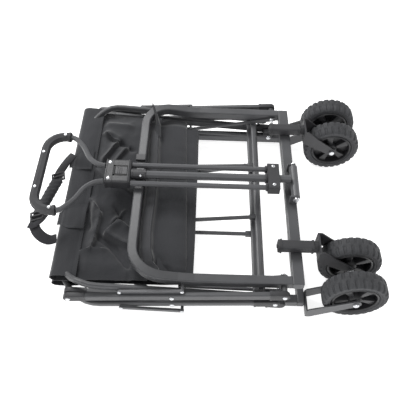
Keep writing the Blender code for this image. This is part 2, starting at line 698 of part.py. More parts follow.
pivot = (ARM_PIVOT_X, 0, ARM_PIVOT_Z)
ear_reach = EAR_Y + EAR_THICK + CLEAR
bolt_half = [(0.0, ear_reach + 0.0050), (0.0060, ear_reach + 0.0050), (0.0072, ear_reach + 0.0036),
             (0.0072, ear_reach), (AXLE_R, ear_reach)]
bolt_profile = bolt_half + [(r, -d) for r, d in reversed(bolt_half)]
turned("handle_pivot_bolt", bolt_profile, zinc(), "front_frame", pivot, 12)
turned("handle_pivot_tube", [(AXLE_R + CLEAR, EAR_Y - 0.0006), (0.0095, EAR_Y - 0.0006),
                             (0.0095, 0.0006 - EAR_Y), (AXLE_R + CLEAR, 0.0006 - EAR_Y)],
       frame_steel(), "handle_arm", pivot, 20)


def straight_tube(name, left, right, y, z, radius, body):
    return tube_curve(name, [(left, y, z), ((left + right) / 2, y, z), (right, y, z)], frame_steel(), body,
                      radius=radius, resolution=2)


straight_tube("handle_centre_tube", COLLAR_LEFT + 0.003, ARM_PIVOT_X - 0.0100, 0, ARM_Z, 0.009, "handle_arm")
bored_block("handle_collar", COLLAR_LEFT, COLLAR_RIGHT, 0.0112, 0.0112, 0, ARM_Z, ((0.0, 0.0094),),
            black_plastic(), "handle_arm", 0.0105)
bored_block("handle_lower_block", BLOCK_LEFT, BLOCK_RIGHT, 0.036, 0.0125, 0, ARM_Z,
            ((0.0, 0.0095), (-SLIDE_TUBE_Y, 0.0064), (SLIDE_TUBE_Y, 0.0064)), black_plastic(), "handle_slide")
for side_name, side in (("near", -1), ("far", 1)):
    straight_tube("handle_slide_tube_" + side_name, HUB_RIGHT + CLEAR, BLOCK_RIGHT, side * SLIDE_TUBE_Y,
                  ARM_Z, 0.006, "handle_slide")

hub_bm = bmesh.new()
add_box(hub_bm, (HUB_LEFT, -0.033, ARM_Z - 0.0125), (HUB_RIGHT, 0.033, ARM_Z + 0.0125), 0.005, 3)
hub = mesh_part("handle_hub", hub_bm, black_plastic(), "handle_slide", 40)
pocket = bmesh.new()
add_box(pocket, (BUTTON_X - 0.0141, -0.0115, ARM_Z + 0.0055), (BUTTON_X + 0.0141, 0.0115, ARM_Z + 0.020))
merge(hub, "pocket", pocket, "handle_slide", "DIFFERENCE")
button = bmesh.new()
add_box(button, (BUTTON_X - 0.0136, -0.0110, ARM_Z + 0.0093), (BUTTON_X + 0.0136, 0.0110, ARM_Z + 0.0135),
        bevel=0.001)
mesh_part("release_button", button, black_plastic(), "handle_button", 40)


def s_route(points, side, steps=5):
    """A smooth route through a few (X, Y) points, on one side of the handle."""
    route = []
    count = len(points)
    for index in range(count - 1):
        before, start = points[max(index - 1, 0)], points[index]
        stop, after = points[index + 1], points[min(index + 2, count - 1)]
        for step in range(steps + (index == count - 2)):
            t = step / steps
            weights = (-t / 2 + t * t - t ** 3 / 2, 1 - 2.5 * t * t + 1.5 * t ** 3,
                       t / 2 + 2 * t * t - 1.5 * t ** 3, (t ** 3 - t * t) / 2)
            knots = (before, start, stop, after)
            x, y = (sum(w * p[axis] for w, p in zip(weights, knots)) for axis in (0, 1))
            route.append((x, side * y, ARM_Z))
    return route


for side_name, side in (("near", -1), ("far", 1)):
    tube_curve("handle_bow_" + side_name,
               s_route(((HUB_LEFT - 0.0026, 0.022), (-0.248, 0.027), (-0.268, 0.044), (-0.285, 0.075),
                        (-0.306, 0.099), (GRIP_END_X + 0.0020, 0.105)), side),
               frame_steel(), "handle_slide", radius=0.006, resolution=2)

grip_bend = 0.040
grip_flat = [(GRIP_END_X - 0.0012, GRIP_HALF)] + [(x, -y) for x, y in arc(
    (GRIP_X + grip_bend, grip_bend - GRIP_HALF), grip_bend, 270, 180, 7)]
grip_flat = [(GRIP_END_X - 0.0012, GRIP_HALF)] + [p for p in grip_flat[1:] if p[0] < GRIP_END_X - 0.004]
grip_route = grip_flat + [(x, -y) for x, y in reversed(grip_flat)]
tube_curve("handle_grip", [(x, y, ARM_Z) for x, y in grip_route], grip_foam(), "handle_slide", radius=GRIP_R,
           resolution=2)

clip = bmesh.new()
add_box(clip, (HOOP_TOP_X - 0.013, 0.049, 0.1204), (HOOP_TOP_X + 0.010, 0.067, 0.1262), bevel=0.0015)
mesh_part("handle_clip", clip, black_plastic(), "front_frame", 40)


# ---- fabric ------------------------------------------------------------------------------------------
def panel(name, end, wide_left, right, body):
    """An end panel: a flat sheet whose hem is sewn round the top rail."""
    axis = rail_point(end, RAIL_ARM, 0, RAIL_OFFSET)
    low, high = sorted((end * PANEL_LOW, end * PANEL_HIGH))
    rise = MID_Z - axis.z
    reach = right - axis.x
    inner, outer = rise + low, rise + high
    start, stop = asin(outer / SLEEVE_R), 2 * pi + asin(inner / SLEEVE_R)
    ring = arc((0, 0), SLEEVE_R, start * 180 / pi, stop * 180 / pi, 14)
    outline = [(HEM_REACH, outer)] + ring + [(HEM_REACH, inner)]
    bore = arc((0, 0), SLEEVE_BORE, 0, 342, 19)
    hem = plate(name, outline, 2 * HEM_HALF, cloth(), body, (bore,))
    hem.matrix_basis = Matrix.Translation(axis) @ Matrix.Rotation(pi / 2, 4, "X")
    hem = as_mesh(hem, body)
    sheet = bmesh.new()
    corners = (wide_left - axis.x, inner + 0.0001, -PANEL_HALF), (reach, outer - 0.0001, PANEL_HALF)
    add_box(sheet, *corners, 0.0015)
    merge(hem, "sheet", sheet, body)
    return hem


panel("front_panel", 1, -0.266, PANEL_RIGHT, "front_panel")
panel("rear_panel", -1, -0.266, PANEL_RIGHT, "rear_panel")

for end, label in ((1, "front"), (-1, "rear")):
    low, high = sorted((end * CLOTH_LOW, end * CLOTH_HIGH))
    folded = bmesh.new()
    add_box(folded, (CLOTH_LEFT, -CLOTH_HALF, MID_Z + low), (CLOTH_RIGHT, CLOTH_HALF, MID_Z + high), 0.001)
    mesh_part(label + "_cloth", folded, cloth(), label + "_cloth", 40)

strap_section = section_guide("strap_section", 0.0028, 0.018, 0.0012, 1)
strap_route = s_route(((-0.3225, 0.105), (-0.340, 0.070), (-0.354, 0.030), (-0.364, -0.010), (-0.371, -0.050),
                       (-0.369, -0.085), (-0.352, -0.118), (-0.3225, -0.132)), 1, 3)
strap = tube_curve("carry_strap", [(x, y, STRAP_Z) for x, y, _ in strap_route], cloth(), "front_panel",
                   section=strap_section)
as_mesh(strap, "front_panel")
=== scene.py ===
import json
from math import cos, pi, radians, sin, sqrt

import bmesh
import bpy
from mathutils import Matrix, Vector, noise


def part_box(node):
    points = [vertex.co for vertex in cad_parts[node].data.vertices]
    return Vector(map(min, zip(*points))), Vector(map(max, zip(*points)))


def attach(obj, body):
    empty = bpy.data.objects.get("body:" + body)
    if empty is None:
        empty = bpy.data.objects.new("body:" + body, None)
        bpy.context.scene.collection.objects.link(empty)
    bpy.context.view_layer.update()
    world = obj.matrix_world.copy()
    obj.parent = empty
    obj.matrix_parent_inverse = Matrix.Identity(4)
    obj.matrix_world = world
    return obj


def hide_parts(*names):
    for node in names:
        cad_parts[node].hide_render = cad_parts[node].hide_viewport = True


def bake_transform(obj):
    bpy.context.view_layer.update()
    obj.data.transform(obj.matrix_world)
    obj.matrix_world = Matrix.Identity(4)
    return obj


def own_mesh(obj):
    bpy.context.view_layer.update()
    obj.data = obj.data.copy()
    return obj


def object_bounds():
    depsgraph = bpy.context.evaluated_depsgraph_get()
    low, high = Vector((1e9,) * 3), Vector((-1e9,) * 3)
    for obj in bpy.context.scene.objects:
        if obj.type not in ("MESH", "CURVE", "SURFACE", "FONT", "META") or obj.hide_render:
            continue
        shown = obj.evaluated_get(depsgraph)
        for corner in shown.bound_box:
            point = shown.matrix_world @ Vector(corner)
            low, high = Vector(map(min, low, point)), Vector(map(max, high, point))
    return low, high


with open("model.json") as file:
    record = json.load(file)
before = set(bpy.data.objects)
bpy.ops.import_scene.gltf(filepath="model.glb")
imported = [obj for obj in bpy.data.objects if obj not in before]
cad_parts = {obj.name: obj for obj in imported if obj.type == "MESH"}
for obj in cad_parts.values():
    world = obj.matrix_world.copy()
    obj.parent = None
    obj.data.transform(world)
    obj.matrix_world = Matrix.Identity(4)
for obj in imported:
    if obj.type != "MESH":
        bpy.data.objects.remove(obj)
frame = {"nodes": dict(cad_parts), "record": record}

cad_box = [list(corner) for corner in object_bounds()]


# ---- camera, light and floor -------------------------------------------------------------------------
CAMERA_PLACE = Vector((-0.0165, -0.75, 1.056))
ELEVATION, YAW, ROLL = radians(54.29), radians(1.78), radians(3.22)
SENSOR_WIDTH = 36.0
LENS = 45.805

forward = Vector((sin(YAW) * cos(ELEVATION), cos(YAW) * cos(ELEVATION), -sin(ELEVATION)))
level = Vector((cos(YAW), -sin(YAW), 0.0))
upright = level.cross(forward)
right = level * cos(ROLL) + upright * sin(ROLL)
up = upright * cos(ROLL) - level * sin(ROLL)
camera = bpy.data.objects.new("camera", bpy.data.cameras.new("camera"))
bpy.context.scene.collection.objects.link(camera)
camera.data.sensor_width = SENSOR_WIDTH
camera.data.lens = LENS
camera.matrix_world = Matrix.Translation(CAMERA_PLACE) @ Matrix((right, up, -forward)).transposed().to_4x4()
bpy.context.scene.camera = camera
bpy.context.scene.view_settings.view_transform = "Standard"

world = bpy.data.worlds.new("studio")
world.use_nodes = True
world.node_tree.nodes["Background"].inputs["Color"].default_value = (1.0, 1.0, 1.0, 1.0)
world.node_tree.nodes["Background"].inputs["Strength"].default_value = 0.55
bpy.context.scene.world = world


def area_light(name, place, size, power, target=(0.0, 0.0, 0.06)):
    light = bpy.data.objects.new(name, bpy.data.lights.new(name, "AREA"))
    bpy.context.scene.collection.objects.link(light)
    light.data.shape = "RECTANGLE"
    light.data.size = size[0]
    light.data.size_y = size[1]
    light.data.energy = power
    light.location = place
    light.rotation_euler = (Vector(target) - Vector(place)).to_track_quat("-Z", "Y").to_euler()


area_light("key_light", (-0.7, 1.1, 1.5), (0.9, 0.7), 26)
area_light("near_fill", (-0.2, -1.8, 1.0), (1.8, 1.0), 8)
area_light("left_fill", (-1.8, 0.1, 1.0), (1.0, 1.4), 7)
area_light("right_fill", (1.8, 0.2, 1.0), (1.0, 1.4), 6)


# ---- materials ---------------------------------------------------------------------------------------
def shader(name, colour, roughness, metallic=0.0):
    made = bpy.data.materials.new(name)
    made.use_nodes = True
    nodes, links = made.node_tree.nodes, made.node_tree.links
    principled = nodes["Principled BSDF"]
    principled.inputs["Base Color"].default_value = (*colour, 1.0)
    principled.inputs["Roughness"].default_value = roughness
    principled.inputs["Metallic"].default_value = metallic
    return made, nodes, links, principled


def texture_noise(nodes, links, scale, detail=3.0, stretch=(1, 1, 1)):
    place = nodes.new("ShaderNodeTexCoord")
    mapping = nodes.new("ShaderNodeMapping")
    mapping.inputs["Scale"].default_value = stretch
    made = nodes.new("ShaderNodeTexNoise")
    made.inputs["Scale"].default_value = scale
    made.inputs["Detail"].default_value = detail
    links.new(place.outputs["Object"], mapping.inputs["Vector"])
    links.new(mapping.outputs["Vector"], made.inputs["Vector"])
    return made.outputs["Fac"]


def ramp(nodes, links, source, stops):
    made = nodes.new("ShaderNodeValToRGB")
    for index, (position, colour) in enumerate(stops):
        element = made.color_ramp.elements[index] if index < 2 else made.color_ramp.elements.new(position)
        element.position = position
        element.color = (*colour, 1.0)
    links.new(source, made.inputs["Fac"])
    return made.outputs["Color"]


def span(nodes, links, source, low, high, start=0.3, stop=0.7):
    made = nodes.new("ShaderNodeMapRange")
    made.inputs["From Min"].default_value = start
    made.inputs["From Max"].default_value = stop
    made.inputs["To Min"].default_value = low
    made.inputs["To Max"].default_value = high
    links.new(source, made.inputs["Value"])
    return made.outputs["Result"]


def bump(nodes, links, height, principled, strength, distance):
    made = nodes.new("ShaderNodeBump")
    made.inputs["Strength"].default_value = strength
    made.inputs["Distance"].default_value = distance
    links.new(height, made.inputs["Height"])
    links.new(made.outputs["Normal"], principled.inputs["Normal"])


def coat(name, dark, light, rough_low, rough_high, grain, grain_size, edge_highlight=0.0):
    """Powder coat or moulded plastic: cloudy colour, orange-peel or fine spark grain, and paler convex edges
    that are a painted highlight.
    """
    made, nodes, links, principled = shader(name, light, rough_low)
    cloud = texture_noise(nodes, links, 26.0)
    colour = ramp(nodes, links, cloud, ((0.30, dark), (0.72, light)))
    if edge_highlight:
        # painted highlight: convex edges, found by pointiness, are mixed towards a paler colour
        geometry = nodes.new("ShaderNodeNewGeometry")
        edge = nodes.new("ShaderNodeMapRange")
        edge.inputs["From Min"].default_value = 0.52
        edge.inputs["From Max"].default_value = 0.62
        edge.inputs["To Max"].default_value = edge_highlight
        links.new(geometry.outputs["Pointiness"], edge.inputs["Value"])
        mix = nodes.new("ShaderNodeMix")
        mix.data_type = "RGBA"
        links.new(edge.outputs["Result"], mix.inputs["Factor"])
        links.new(colour, mix.inputs[6])
        mix.inputs[7].default_value = (*[c * 2.6 + 0.01 for c in light], 1.0)
        colour = mix.outputs[2]
    links.new(colour, principled.inputs["Base Color"])
    fine = texture_noise(nodes, links, grain, 2.0)
    links.new(span(nodes, links, fine, rough_low, rough_high), principled.inputs["Roughness"])
    bump(nodes, links, fine, principled, 0.35, grain_size)
    return made


def weave(name, dark, light, thread=0.0011, sheen=0.35):
    """Coarse woven polyester: crossed threads, uneven dye, soft sheen."""
    made, nodes, links, principled = shader(name, light, 0.86)
    principled.inputs["Sheen Weight"].default_value = sheen
    principled.inputs["Sheen Roughness"].default_value = 0.45
    principled.inputs["Specular IOR Level"].default_value = 0.30
    warp = texture_noise(nodes, links, 0.5 / thread, 1.0, (1.0, 0.22, 0.6))
    weft = texture_noise(nodes, links, 0.5 / thread, 1.0, (0.22, 1.0, 0.6))
    threads = nodes.new("ShaderNodeMath")
    threads.operation = "ADD"
    links.new(warp, threads.inputs[0])
    links.new(weft, threads.inputs[1])
    dye = texture_noise(nodes, links, 9.0, 5.0)
    colour = ramp(nodes, links, dye, ((0.28, dark), (0.74, light)))
    shade = ramp(nodes, links, threads.outputs[0], ((0.30, (0.62, 0.62, 0.63)), (0.85, (1.0, 1.0, 1.0))))
    mix = nodes.new("ShaderNodeMix")
    mix.data_type = "RGBA"
    mix.blend_type = "MULTIPLY"
    mix.inputs["Factor"].default_value = 0.6
    links.new(colour, mix.inputs[6])
    links.new(shade, mix.inputs[7])
    links.new(mix.outputs[2], principled.inputs["Base Color"])
    links.new(span(nodes, links, dye, 0.80, 0.94), principled.inputs["Roughness"])
    bump(nodes, links, threads.outputs[0], principled, 0.45, 0.0003)
    return made


def zinc_plate():
    made, nodes, links, principled = shader("zinc_plate", (0.72, 0.73, 0.75), 0.26, 1.0)
    fine = texture_noise(nodes, links, 220.0, 3.0, (1, 6, 1))
    links.new(ramp(nodes, links, fine, ((0.3, (0.55, 0.56, 0.58)), (0.7, (0.82, 0.83, 0.85)))),
              principled.inputs["Base Color"])
    links.new(span(nodes, links, fine, 0.18, 0.36), principled.inputs["Roughness"])
    bump(nodes, links, fine, principled, 0.2, 0.0001)
    return made


# the last number given to each coat sets the strength of its painted edge highlight
steel_coat = coat("steel_coat", (0.046, 0.047, 0.050), (0.062, 0.063, 0.067),
                  0.34, 0.50, 900.0, 0.00012, 0.35)
plastic = coat("black_plastic", (0.020, 0.020, 0.022), (0.030, 0.030, 0.033),
               0.42, 0.60, 1400.0, 0.00015, 0.2)
rim_plastic = coat("rim_plastic", (0.016, 0.016, 0.018), (0.024, 0.024, 0.026),
                   0.32, 0.46, 700.0, 0.0001, 0.2)
rubber = coat("tyre_rubber", (0.030, 0.031, 0.034), (0.046, 0.047, 0.051),
              0.62, 0.82, 420.0, 0.0003, 0.35)
foam = coat("grip_plastic", (0.030, 0.030, 0.033), (0.044, 0.044, 0.048),
            0.55, 0.72, 1100.0, 0.0003)
cloth = weave("woven_polyester", (0.024, 0.025, 0.028), (0.038, 0.039, 0.043))
binding = weave("edge_binding", (0.044, 0.045, 0.048), (0.064, 0.065, 0.070), 0.0008)
webbing = weave("webbing", (0.020, 0.020, 0.023), (0.034, 0.034, 0.038), 0.0016, 0.25)
zinc = zinc_plate()
# near-black painted shade standing in for the shadowed gap round the release button
painted_gap_shade = coat("painted_gap_shade", (0.003, 0.003, 0.0035), (0.005, 0.005, 0.0055),
                      0.60, 0.75, 900.0, 0.0001, 0.1)
slot_surface = {"frame_steel": steel_coat, "black_plastic": plastic, "zinc_steel": zinc,
                "tyre_rubber": rubber, "woven_polyester": cloth, "grip_plastic": foam}
for row in frame["record"]["subparts"]:
    node = frame["nodes"][row["node"]]
    node.data.materials.clear()
    node.data.materials.append(slot_surface[row["material_slot"]])


def floor():
    bm = bmesh.new()
    bmesh.ops.create_grid(bm, x_segments=2, y_segments=2, size=6.0)
    mesh = bpy.data.meshes.new("studio_floor")
    bm.to_mesh(mesh)
    bm.free()
    obj = bpy.data.objects.new("studio_floor", mesh)
    bpy.context.scene.collection.objects.link(obj)
    obj.location.z = cad_box[0][2] - 0.0005
    made, nodes, links, principled = shader("studio_floor", (0.90, 0.90, 0.90), 0.9)
    cloud = texture_noise(nodes, links, 0.6)
    links.new(ramp(nodes, links, cloud, ((0.3, (0.89, 0.89, 0.89)), (0.7, (0.92, 0.92, 0.92)))),
              principled.inputs["Base Color"])
    principled.inputs["Emission Color"].default_value = (1.0, 1.0, 1.0, 1.0)
    principled.inputs["Emission Strength"].default_value = 0.75
    mesh.materials.append(made)


floor()

# ---- places that the pieces share --------------------------------------------------------------------
joints = {joint["name"]: joint for joint in frame["record"]["behaviour"]["joints"]}


def pivot(name):
    return Vector(joints[name]["pos_m"])


FOOT = {1: pivot("front_pivot"), -1: pivot("fold")}
CROSSING = {1: pivot("front_crossing"), -1: pivot("rear_crossing")}
BOTTOM = pivot("bottom_pivot")
RAIL = {1: pivot("front_panel_hang"), -1: pivot("rear_panel_hang")}
LINK_POST = {1: pivot("front_link_swing"), -1: pivot("rear_link_swing")}
LABEL = {1: "front", -1: "rear"}
BAR_FOOT_REACH, BAR_HEAD_REACH, LINK_REACH = 0.2286, 0.2130, 0.106
TOP = CROSSING[1] + (CROSSING[1] - FOOT[1]) * BAR_HEAD_REACH / BAR_FOOT_REACH
LINK_RAIL = {end: CROSSING[end] + (CROSSING[end] - BOTTOM) * LINK_REACH / BAR_HEAD_REACH for end in (1, -1)}
BAR_WIDTH = 0.011
INNER_PLANE, OUTER_PLANE = 0.2567, 0.2693
REAR_LINK_PLANE = 0.2765
LINK_HALF = 0.005
SIDES = (("near", -1), ("far", 1))
# turns a profile drawn in XY so that it faces along X
FACING_X = Matrix(((0, 0, 1, 0), (1, 0, 0, 0), (0, 1, 0, 0), (0, 0, 0, 1)))


def piece(name, bm, surface, body=None, smooth=40):
    mesh = bpy.data.meshes.new(name)
    bm.to_mesh(mesh)
    bm.free()
    if smooth:
        mesh.shade_smooth()
        mesh.set_sharp_from_angle(angle=radians(smooth))
    mesh.materials.append(surface)
    obj = bpy.data.objects.new(name, mesh)
    bpy.context.scene.collection.objects.link(obj)
    if body:
        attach(obj, body)
    return obj


def add_box(bm, low, high, bevel=0.0, segments=3, turn=None):
    low, high = Vector(low), Vector(high)
    place = Matrix.Translation((low + high) / 2) @ (turn or Matrix.Identity(4))
    made = bmesh.ops.create_cube(bm, size=1.0, matrix=place @ Matrix.Diagonal((*(high - low), 1.0)))
    if bevel:
        edges = list({edge for vert in made["verts"] for edge in vert.link_edges})
        bmesh.ops.bevel(bm, geom=edges, offset=bevel, segments=segments, affect="EDGES", profile=0.5)


def arc(centre, radius, start, end, steps):
    angles = [radians(start + (end - start) * i / steps) for i in range(steps + 1)]
    return [(centre[0] + radius * cos(a), centre[1] + radius * sin(a)) for a in angles]


def add_prism(bm, outline, low, high, place, bevel=0.0, segments=3):
    """An outline in a plane, extruded from low to high along its normal, with rounded rims."""
    ring = [bm.verts.new((x, y, low)) for x, y in outline]
    base = bm.faces.new(ring)
    lifted = bmesh.ops.extrude_face_region(bm, geom=[base])["geom"]
    moved = [item for item in lifted if isinstance(item, bmesh.types.BMVert)]
    bmesh.ops.translate(bm, verts=moved, vec=(0, 0, high - low))
    both = ring + moved
    if bevel:
        rims = [edge for edge in {e for v in both for e in v.link_edges}
                if abs(edge.verts[0].co.z - edge.verts[1].co.z) < 1e-7]
        made = bmesh.ops.bevel(bm, geom=rims, offset=bevel, segments=segments, affect="EDGES", profile=0.5)
        both = list({v for v in both if v.is_valid} | set(made["verts"]))
    bmesh.ops.transform(bm, matrix=place, verts=both)


def lathe(bm, profile, place, steps=40, closed=True):
    """Turns (radius, height) points about Z; profile runs down the outer side."""
    rings = []
    for i in range(steps):
        turn = 2 * pi * i / steps
        rings.append([bm.verts.new(place @ Vector((r * cos(turn), r * sin(turn), z))) for r, z in profile])
    count = len(profile)
    for i in range(steps):
        here, there = rings[i], rings[(i + 1) % steps]
        for k in range(count if closed else count - 1):
            n = (k + 1) % count
            corner = [here[k], here[n], there[n], there[k]]
            bm.faces.new(corner)


def finish_normals(bm):
    bmesh.ops.remove_doubles(bm, verts=bm.verts, dist=0.00001)
    bmesh.ops.recalc_face_normals(bm, faces=bm.faces)


def turn_to(direction):
    return Vector(direction).to_track_quat("Z", "Y").to_matrix().to_4x4()


def dome(bm, place, direction, radius, height):
    """A pan-headed rivet: rounded head, low rim, small dimple."""
    profile = [(0.0001, height * 0.86), (radius * 0.22, height * 0.98), (radius * 0.55, height * 0.90),
               (radius * 0.86, height * 0.58), (radius, height * 0.18), (radius, -0.0006), (0.0001, -0.0006)]
    lathe(bm, profile, Matrix.Translation(Vector(place)) @ turn_to(direction), 20, closed=False)


def sweep(bm, route, section, flat_up=None):
    """Sweeps a section (list of (a, b)) along a route, b staying upright, with capped ends."""
    rings = []
    for i, point in enumerate(route):
        ahead = Vector(route[min(i + 1, len(route) - 1)]) - Vector(route[max(i - 1, 0)])
        along = ahead.normalized()
        upward = Vector(flat_up or (0, 0, 1))
        across = along.cross(upward).normalized()
        upward = across.cross(along)
        shape = section(i / (len(route) - 1)) if callable(section) else section
        rings.append([bm.verts.new(Vector(point) + across * a + upward * b) for a, b in shape])
    count = len(rings[0])
    for here, there in zip(rings, rings[1:]):
        for k in range(count):
            bm.faces.new((here[k], here[(k + 1) % count], there[(k + 1) % count], there[k]))
    bm.faces.new(list(reversed(rings[0])))
    bm.faces.new(rings[-1])


def circle(radius, steps=16):
    angles = (2 * pi * i / steps for i in range(steps))
    return [(radius * cos(angle), radius * sin(angle)) for angle in angles]


def rounded(half_a, half_b, corner, steps=3):
    points = []
    for sa, sb, start in ((1, 1, 0), (-1, 1, 90), (-1, -1, 180), (1, -1, 270)):
        points += arc((sa * (half_a - corner), sb * (half_b - corner)), corner, start, start + 90, steps)
    return points


def spline(points, steps=6):
    """A smooth route through points of any dimension."""
    route = []
    last = len(points) - 1
    for i in range(last):
        before, start, stop, after = (Vector(points[j]) for j in (max(i - 1, 0), i, i + 1, min(i + 2, last)))
        for step in range(steps + (i == last - 1)):
            t = step / steps
            route.append(before * (-t / 2 + t * t - t ** 3 / 2) + start * (1 - 2.5 * t * t + 1.5 * t ** 3)
                         + stop * (t / 2 + 2 * t * t - 1.5 * t ** 3) + after * ((t ** 3 - t * t) / 2))
    return route


def ease(value, low, high):
    t = min(max((value - low) / (high - low), 0.0), 1.0)
    return t * t * (3 - 2 * t)


# ---- end caps and rivets -----------------------------------------------------------------------------
def plane_frame(start, towards, y):
    along = (towards - start).normalized()
    across = Vector((0, 1, 0))
    turn = Matrix((along, along.cross(across), -across)).transposed().to_4x4()
    return Matrix.Translation(Vector((start.x, y, start.z))) @ turn


def bar_cap(name, start, towards, y, body, length, depth):
    """A moulded cap on a bar's end: rounded nose, raised rim at its mouth."""
    bm = bmesh.new()
    place = plane_frame(start, towards, y)
    half = BAR_WIDTH / 2 + 0.0005
    outline = arc((0, 0), depth / 2, 90, 270, 12) + [(length, -depth / 2), (length, depth / 2)]
    add_prism(bm, outline, -half, half, place, 0.0022, 3)
    rise = depth / 2 + 0.0004
    lip = [(length - 0.0045, -rise), (length, -rise), (length, rise), (length - 0.0045, rise)]
    add_prism(bm, lip, -half - 0.0001, half + 0.0001, place, 0.0007, 2)
    finish_normals(bm)
    obj = piece(name, bm, plastic, body, 35)
    return obj


def rivet_set(name, places, body):
    bm = bmesh.new()
    for place, direction, radius, height in places:
        dome(bm, place, direction, radius, height)
    finish_normals(bm)
    obj = piece(name, bm, zinc, body, 50)
    return obj


for side_name, side in SIDES:
    for end, plane in ((1, OUTER_PLANE), (-1, INNER_PLANE)):
        label = LABEL[end]
        upper = TOP if end == 1 else Vector((TOP.x, 0, 2 * BOTTOM.z - TOP.z))
        leg_plane = INNER_PLANE if end == 1 else OUTER_PLANE
        for spot, start, across, body, length, depth in (
                ("bar_foot", FOOT[end], plane, "_side_bars", 0.030, 0.0215),
                ("bar_head", upper, plane, "_side_bars", 0.036, 0.0205),
                ("leg", BOTTOM, leg_plane, "_top", 0.044, 0.0195)):
            bar_cap(f"{label}_{spot}_cap_{side_name}", start, CROSSING[end], side * across, label + body,
                    length, depth)
    out = (0, side, 0)
    face = OUTER_PLANE + BAR_WIDTH / 2
    for rivets, pivots, body in (("front_bar_rivets_", (FOOT[1], CROSSING[1], TOP), "front_side_bars"),
                                 ("rear_leg_rivets_", (CROSSING[-1], BOTTOM), "rear_top")):
        heads = [(Vector((p.x, side * (face + 0.0004), p.z)), out, 0.0050, 0.0026) for p in pivots]
        rivet_set(rivets + side_name, heads, body)
    link_face = {1: OUTER_PLANE - BAR_WIDTH / 2 + LINK_HALF, -1: REAR_LINK_PLANE + LINK_HALF}
    for end in (1, -1):
        ends = [(Vector((p.x, side * link_face[end], p.z)), out, 0.0042, 0.0022)
                for p in (LINK_POST[end], LINK_RAIL[end])]
        rivet_set(f"{LABEL[end]}_link_rivets_{side_name}", ends, LABEL[end] + "_links")
    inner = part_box("front_floor_bars")[1][1] - 0.006 - 0.0002
    for bolt, end in (("floor_bar_bolt_", 1), ("rear_floor_bar_bolt_", -1)):
        head = (Vector((FOOT[end].x, side * inner, FOOT[end].z)), (0, -side, 0), 0.0062, 0.0032)
        rivet_set(bolt + side_name, [head], LABEL[end] + "_floor_bars")


# ---- wheels ------------------------------------------------------------------------------------------
WHEEL_RADIUS = (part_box("rear_tyre_near")[1][2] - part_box("rear_tyre_near")[0][2]) / 2
WHEEL_HALF = (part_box("rear_tyre_near")[1][1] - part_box("rear_tyre_near")[0][1]) / 2
LUGS = 26
LUG_STEPS = 8


def tyre(name, centre, body, node, phase):
    """A solid tyre with staggered, scalloped shoulder lugs and a zigzag middle rib."""
    r, h = WHEEL_RADIUS, WHEEL_HALF
    profile = [(0.0492, h - 0.0045), (0.0520, h - 0.0012), (0.0552, h - 0.0014), (0.0566, h - 0.0004),
               (r - 0.0060, h - 0.0002), (r - 0.0028, h - 0.0022), (r - 0.0006, h - 0.0062), (r, h - 0.0100),
               (r, 0.0042), (r, 0.0016)]
    depth = [0, 0, 0, 0.0006, 0.0018, 0.0024, 0.0026, 0.0025, 0.0022, 0.0003]
    bm = bmesh.new()
    rings = []
    total = LUGS * LUG_STEPS
    for i in range(total):
        turn = 2 * pi * (i + 0.5) / total
        ring = []
        for side in (1, -1):
            local = (i / LUG_STEPS + (0.0 if side > 0 else 0.5) + phase) % 1.0
            groove = ease(local, 0.56, 0.66) * (1 - ease(local, 0.92, 1.0))
            line = []
            for (radius, y), cut in zip(profile, depth):
                pinch = 0.35 * (cut > 0.002) * (y > 0.008)
                line.append((radius - cut * groove, side * (y - cut * groove * pinch)))
            ring += line if side > 0 else list(reversed(line))
        rings.append([bm.verts.new((radius * cos(turn), y, radius * sin(turn))) for radius, y in ring])
    count = len(rings[0])
    for i in range(total):
        here, there = rings[i], rings[(i + 1) % total]
        for k in range(count):
            n = (k + 1) % count
            bm.faces.new((here[k], here[n], there[n], there[k]))
    finish_normals(bm)
    bmesh.ops.translate(bm, verts=bm.verts, vec=centre)
    obj = piece(name, bm, rubber, body, 32)
    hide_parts(node)
    return obj


def rim(name, centre, body, node, start):
    """A dished rim with five wedge spokes on each face, a stepped lip and a ribbed hub."""
    h = WHEEL_HALF
    bm = bmesh.new()
    lie = Matrix.Rotation(-pi / 2, 4, "X")
    barrel = [(0.0486, h - 0.0030), (0.0486, -h + 0.0030), (0.0462, -h + 0.0012), (0.0444, -h + 0.0030),
              (0.0436, -0.0030), (0.0160, -0.0030), (0.0140, -h + 0.0040), (0.0120, -h + 0.0015),
              (0.0046, -h + 0.0015), (0.0046, h - 0.0015), (0.0120, h - 0.0015), (0.0140, h - 0.0040),
              (0.0160, 0.0030), (0.0436, 0.0030), (0.0444, h - 0.0030), (0.0462, h - 0.0012)]
    lathe(bm, barrel, lie, 60)
    for index in range(5):
        middle = start + 72 * index
        for side in (1, -1):
            wide, narrow = 11.5, 15.0
            outline = arc((0, 0), 0.0440, middle - wide, middle + wide, 6)
            outline += arc((0, 0), 0.0140, middle + narrow, middle - narrow, 3)
            place = lie @ (Matrix.Identity(4) if side > 0 else Matrix.Rotation(pi, 4, "X"))
            add_prism(bm, [(x, side * y) for x, y in outline] if side > 0 else
                      [(x, -y) for x, y in outline], 0.0020, h - 0.0062, place, 0.0014, 2)
    finish_normals(bm)
    bmesh.ops.translate(bm, verts=bm.verts, vec=centre)
    obj = piece(name, bm, rim_plastic, body, 35)
    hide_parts(node)
    return obj


def middle_of(node):
    low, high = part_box(node)
    return (Vector(low) + Vector(high)) / 2


for side_name, side in SIDES:
    for kind, body in (("rear", "rear_wheel_"), ("caster", "caster_wheel_")):
        node = f"{kind}_tyre_{side_name}"
        centre = middle_of(node)
        tyre(f"{kind}_tread_{side_name}", centre, body + side_name, node, 0.0 if kind == "rear" else 0.3)
        rim(f"{kind}_spokes_{side_name}", centre, body + side_name, f"{kind}_rim_{side_name}",
            18 if kind == "rear" else 40)


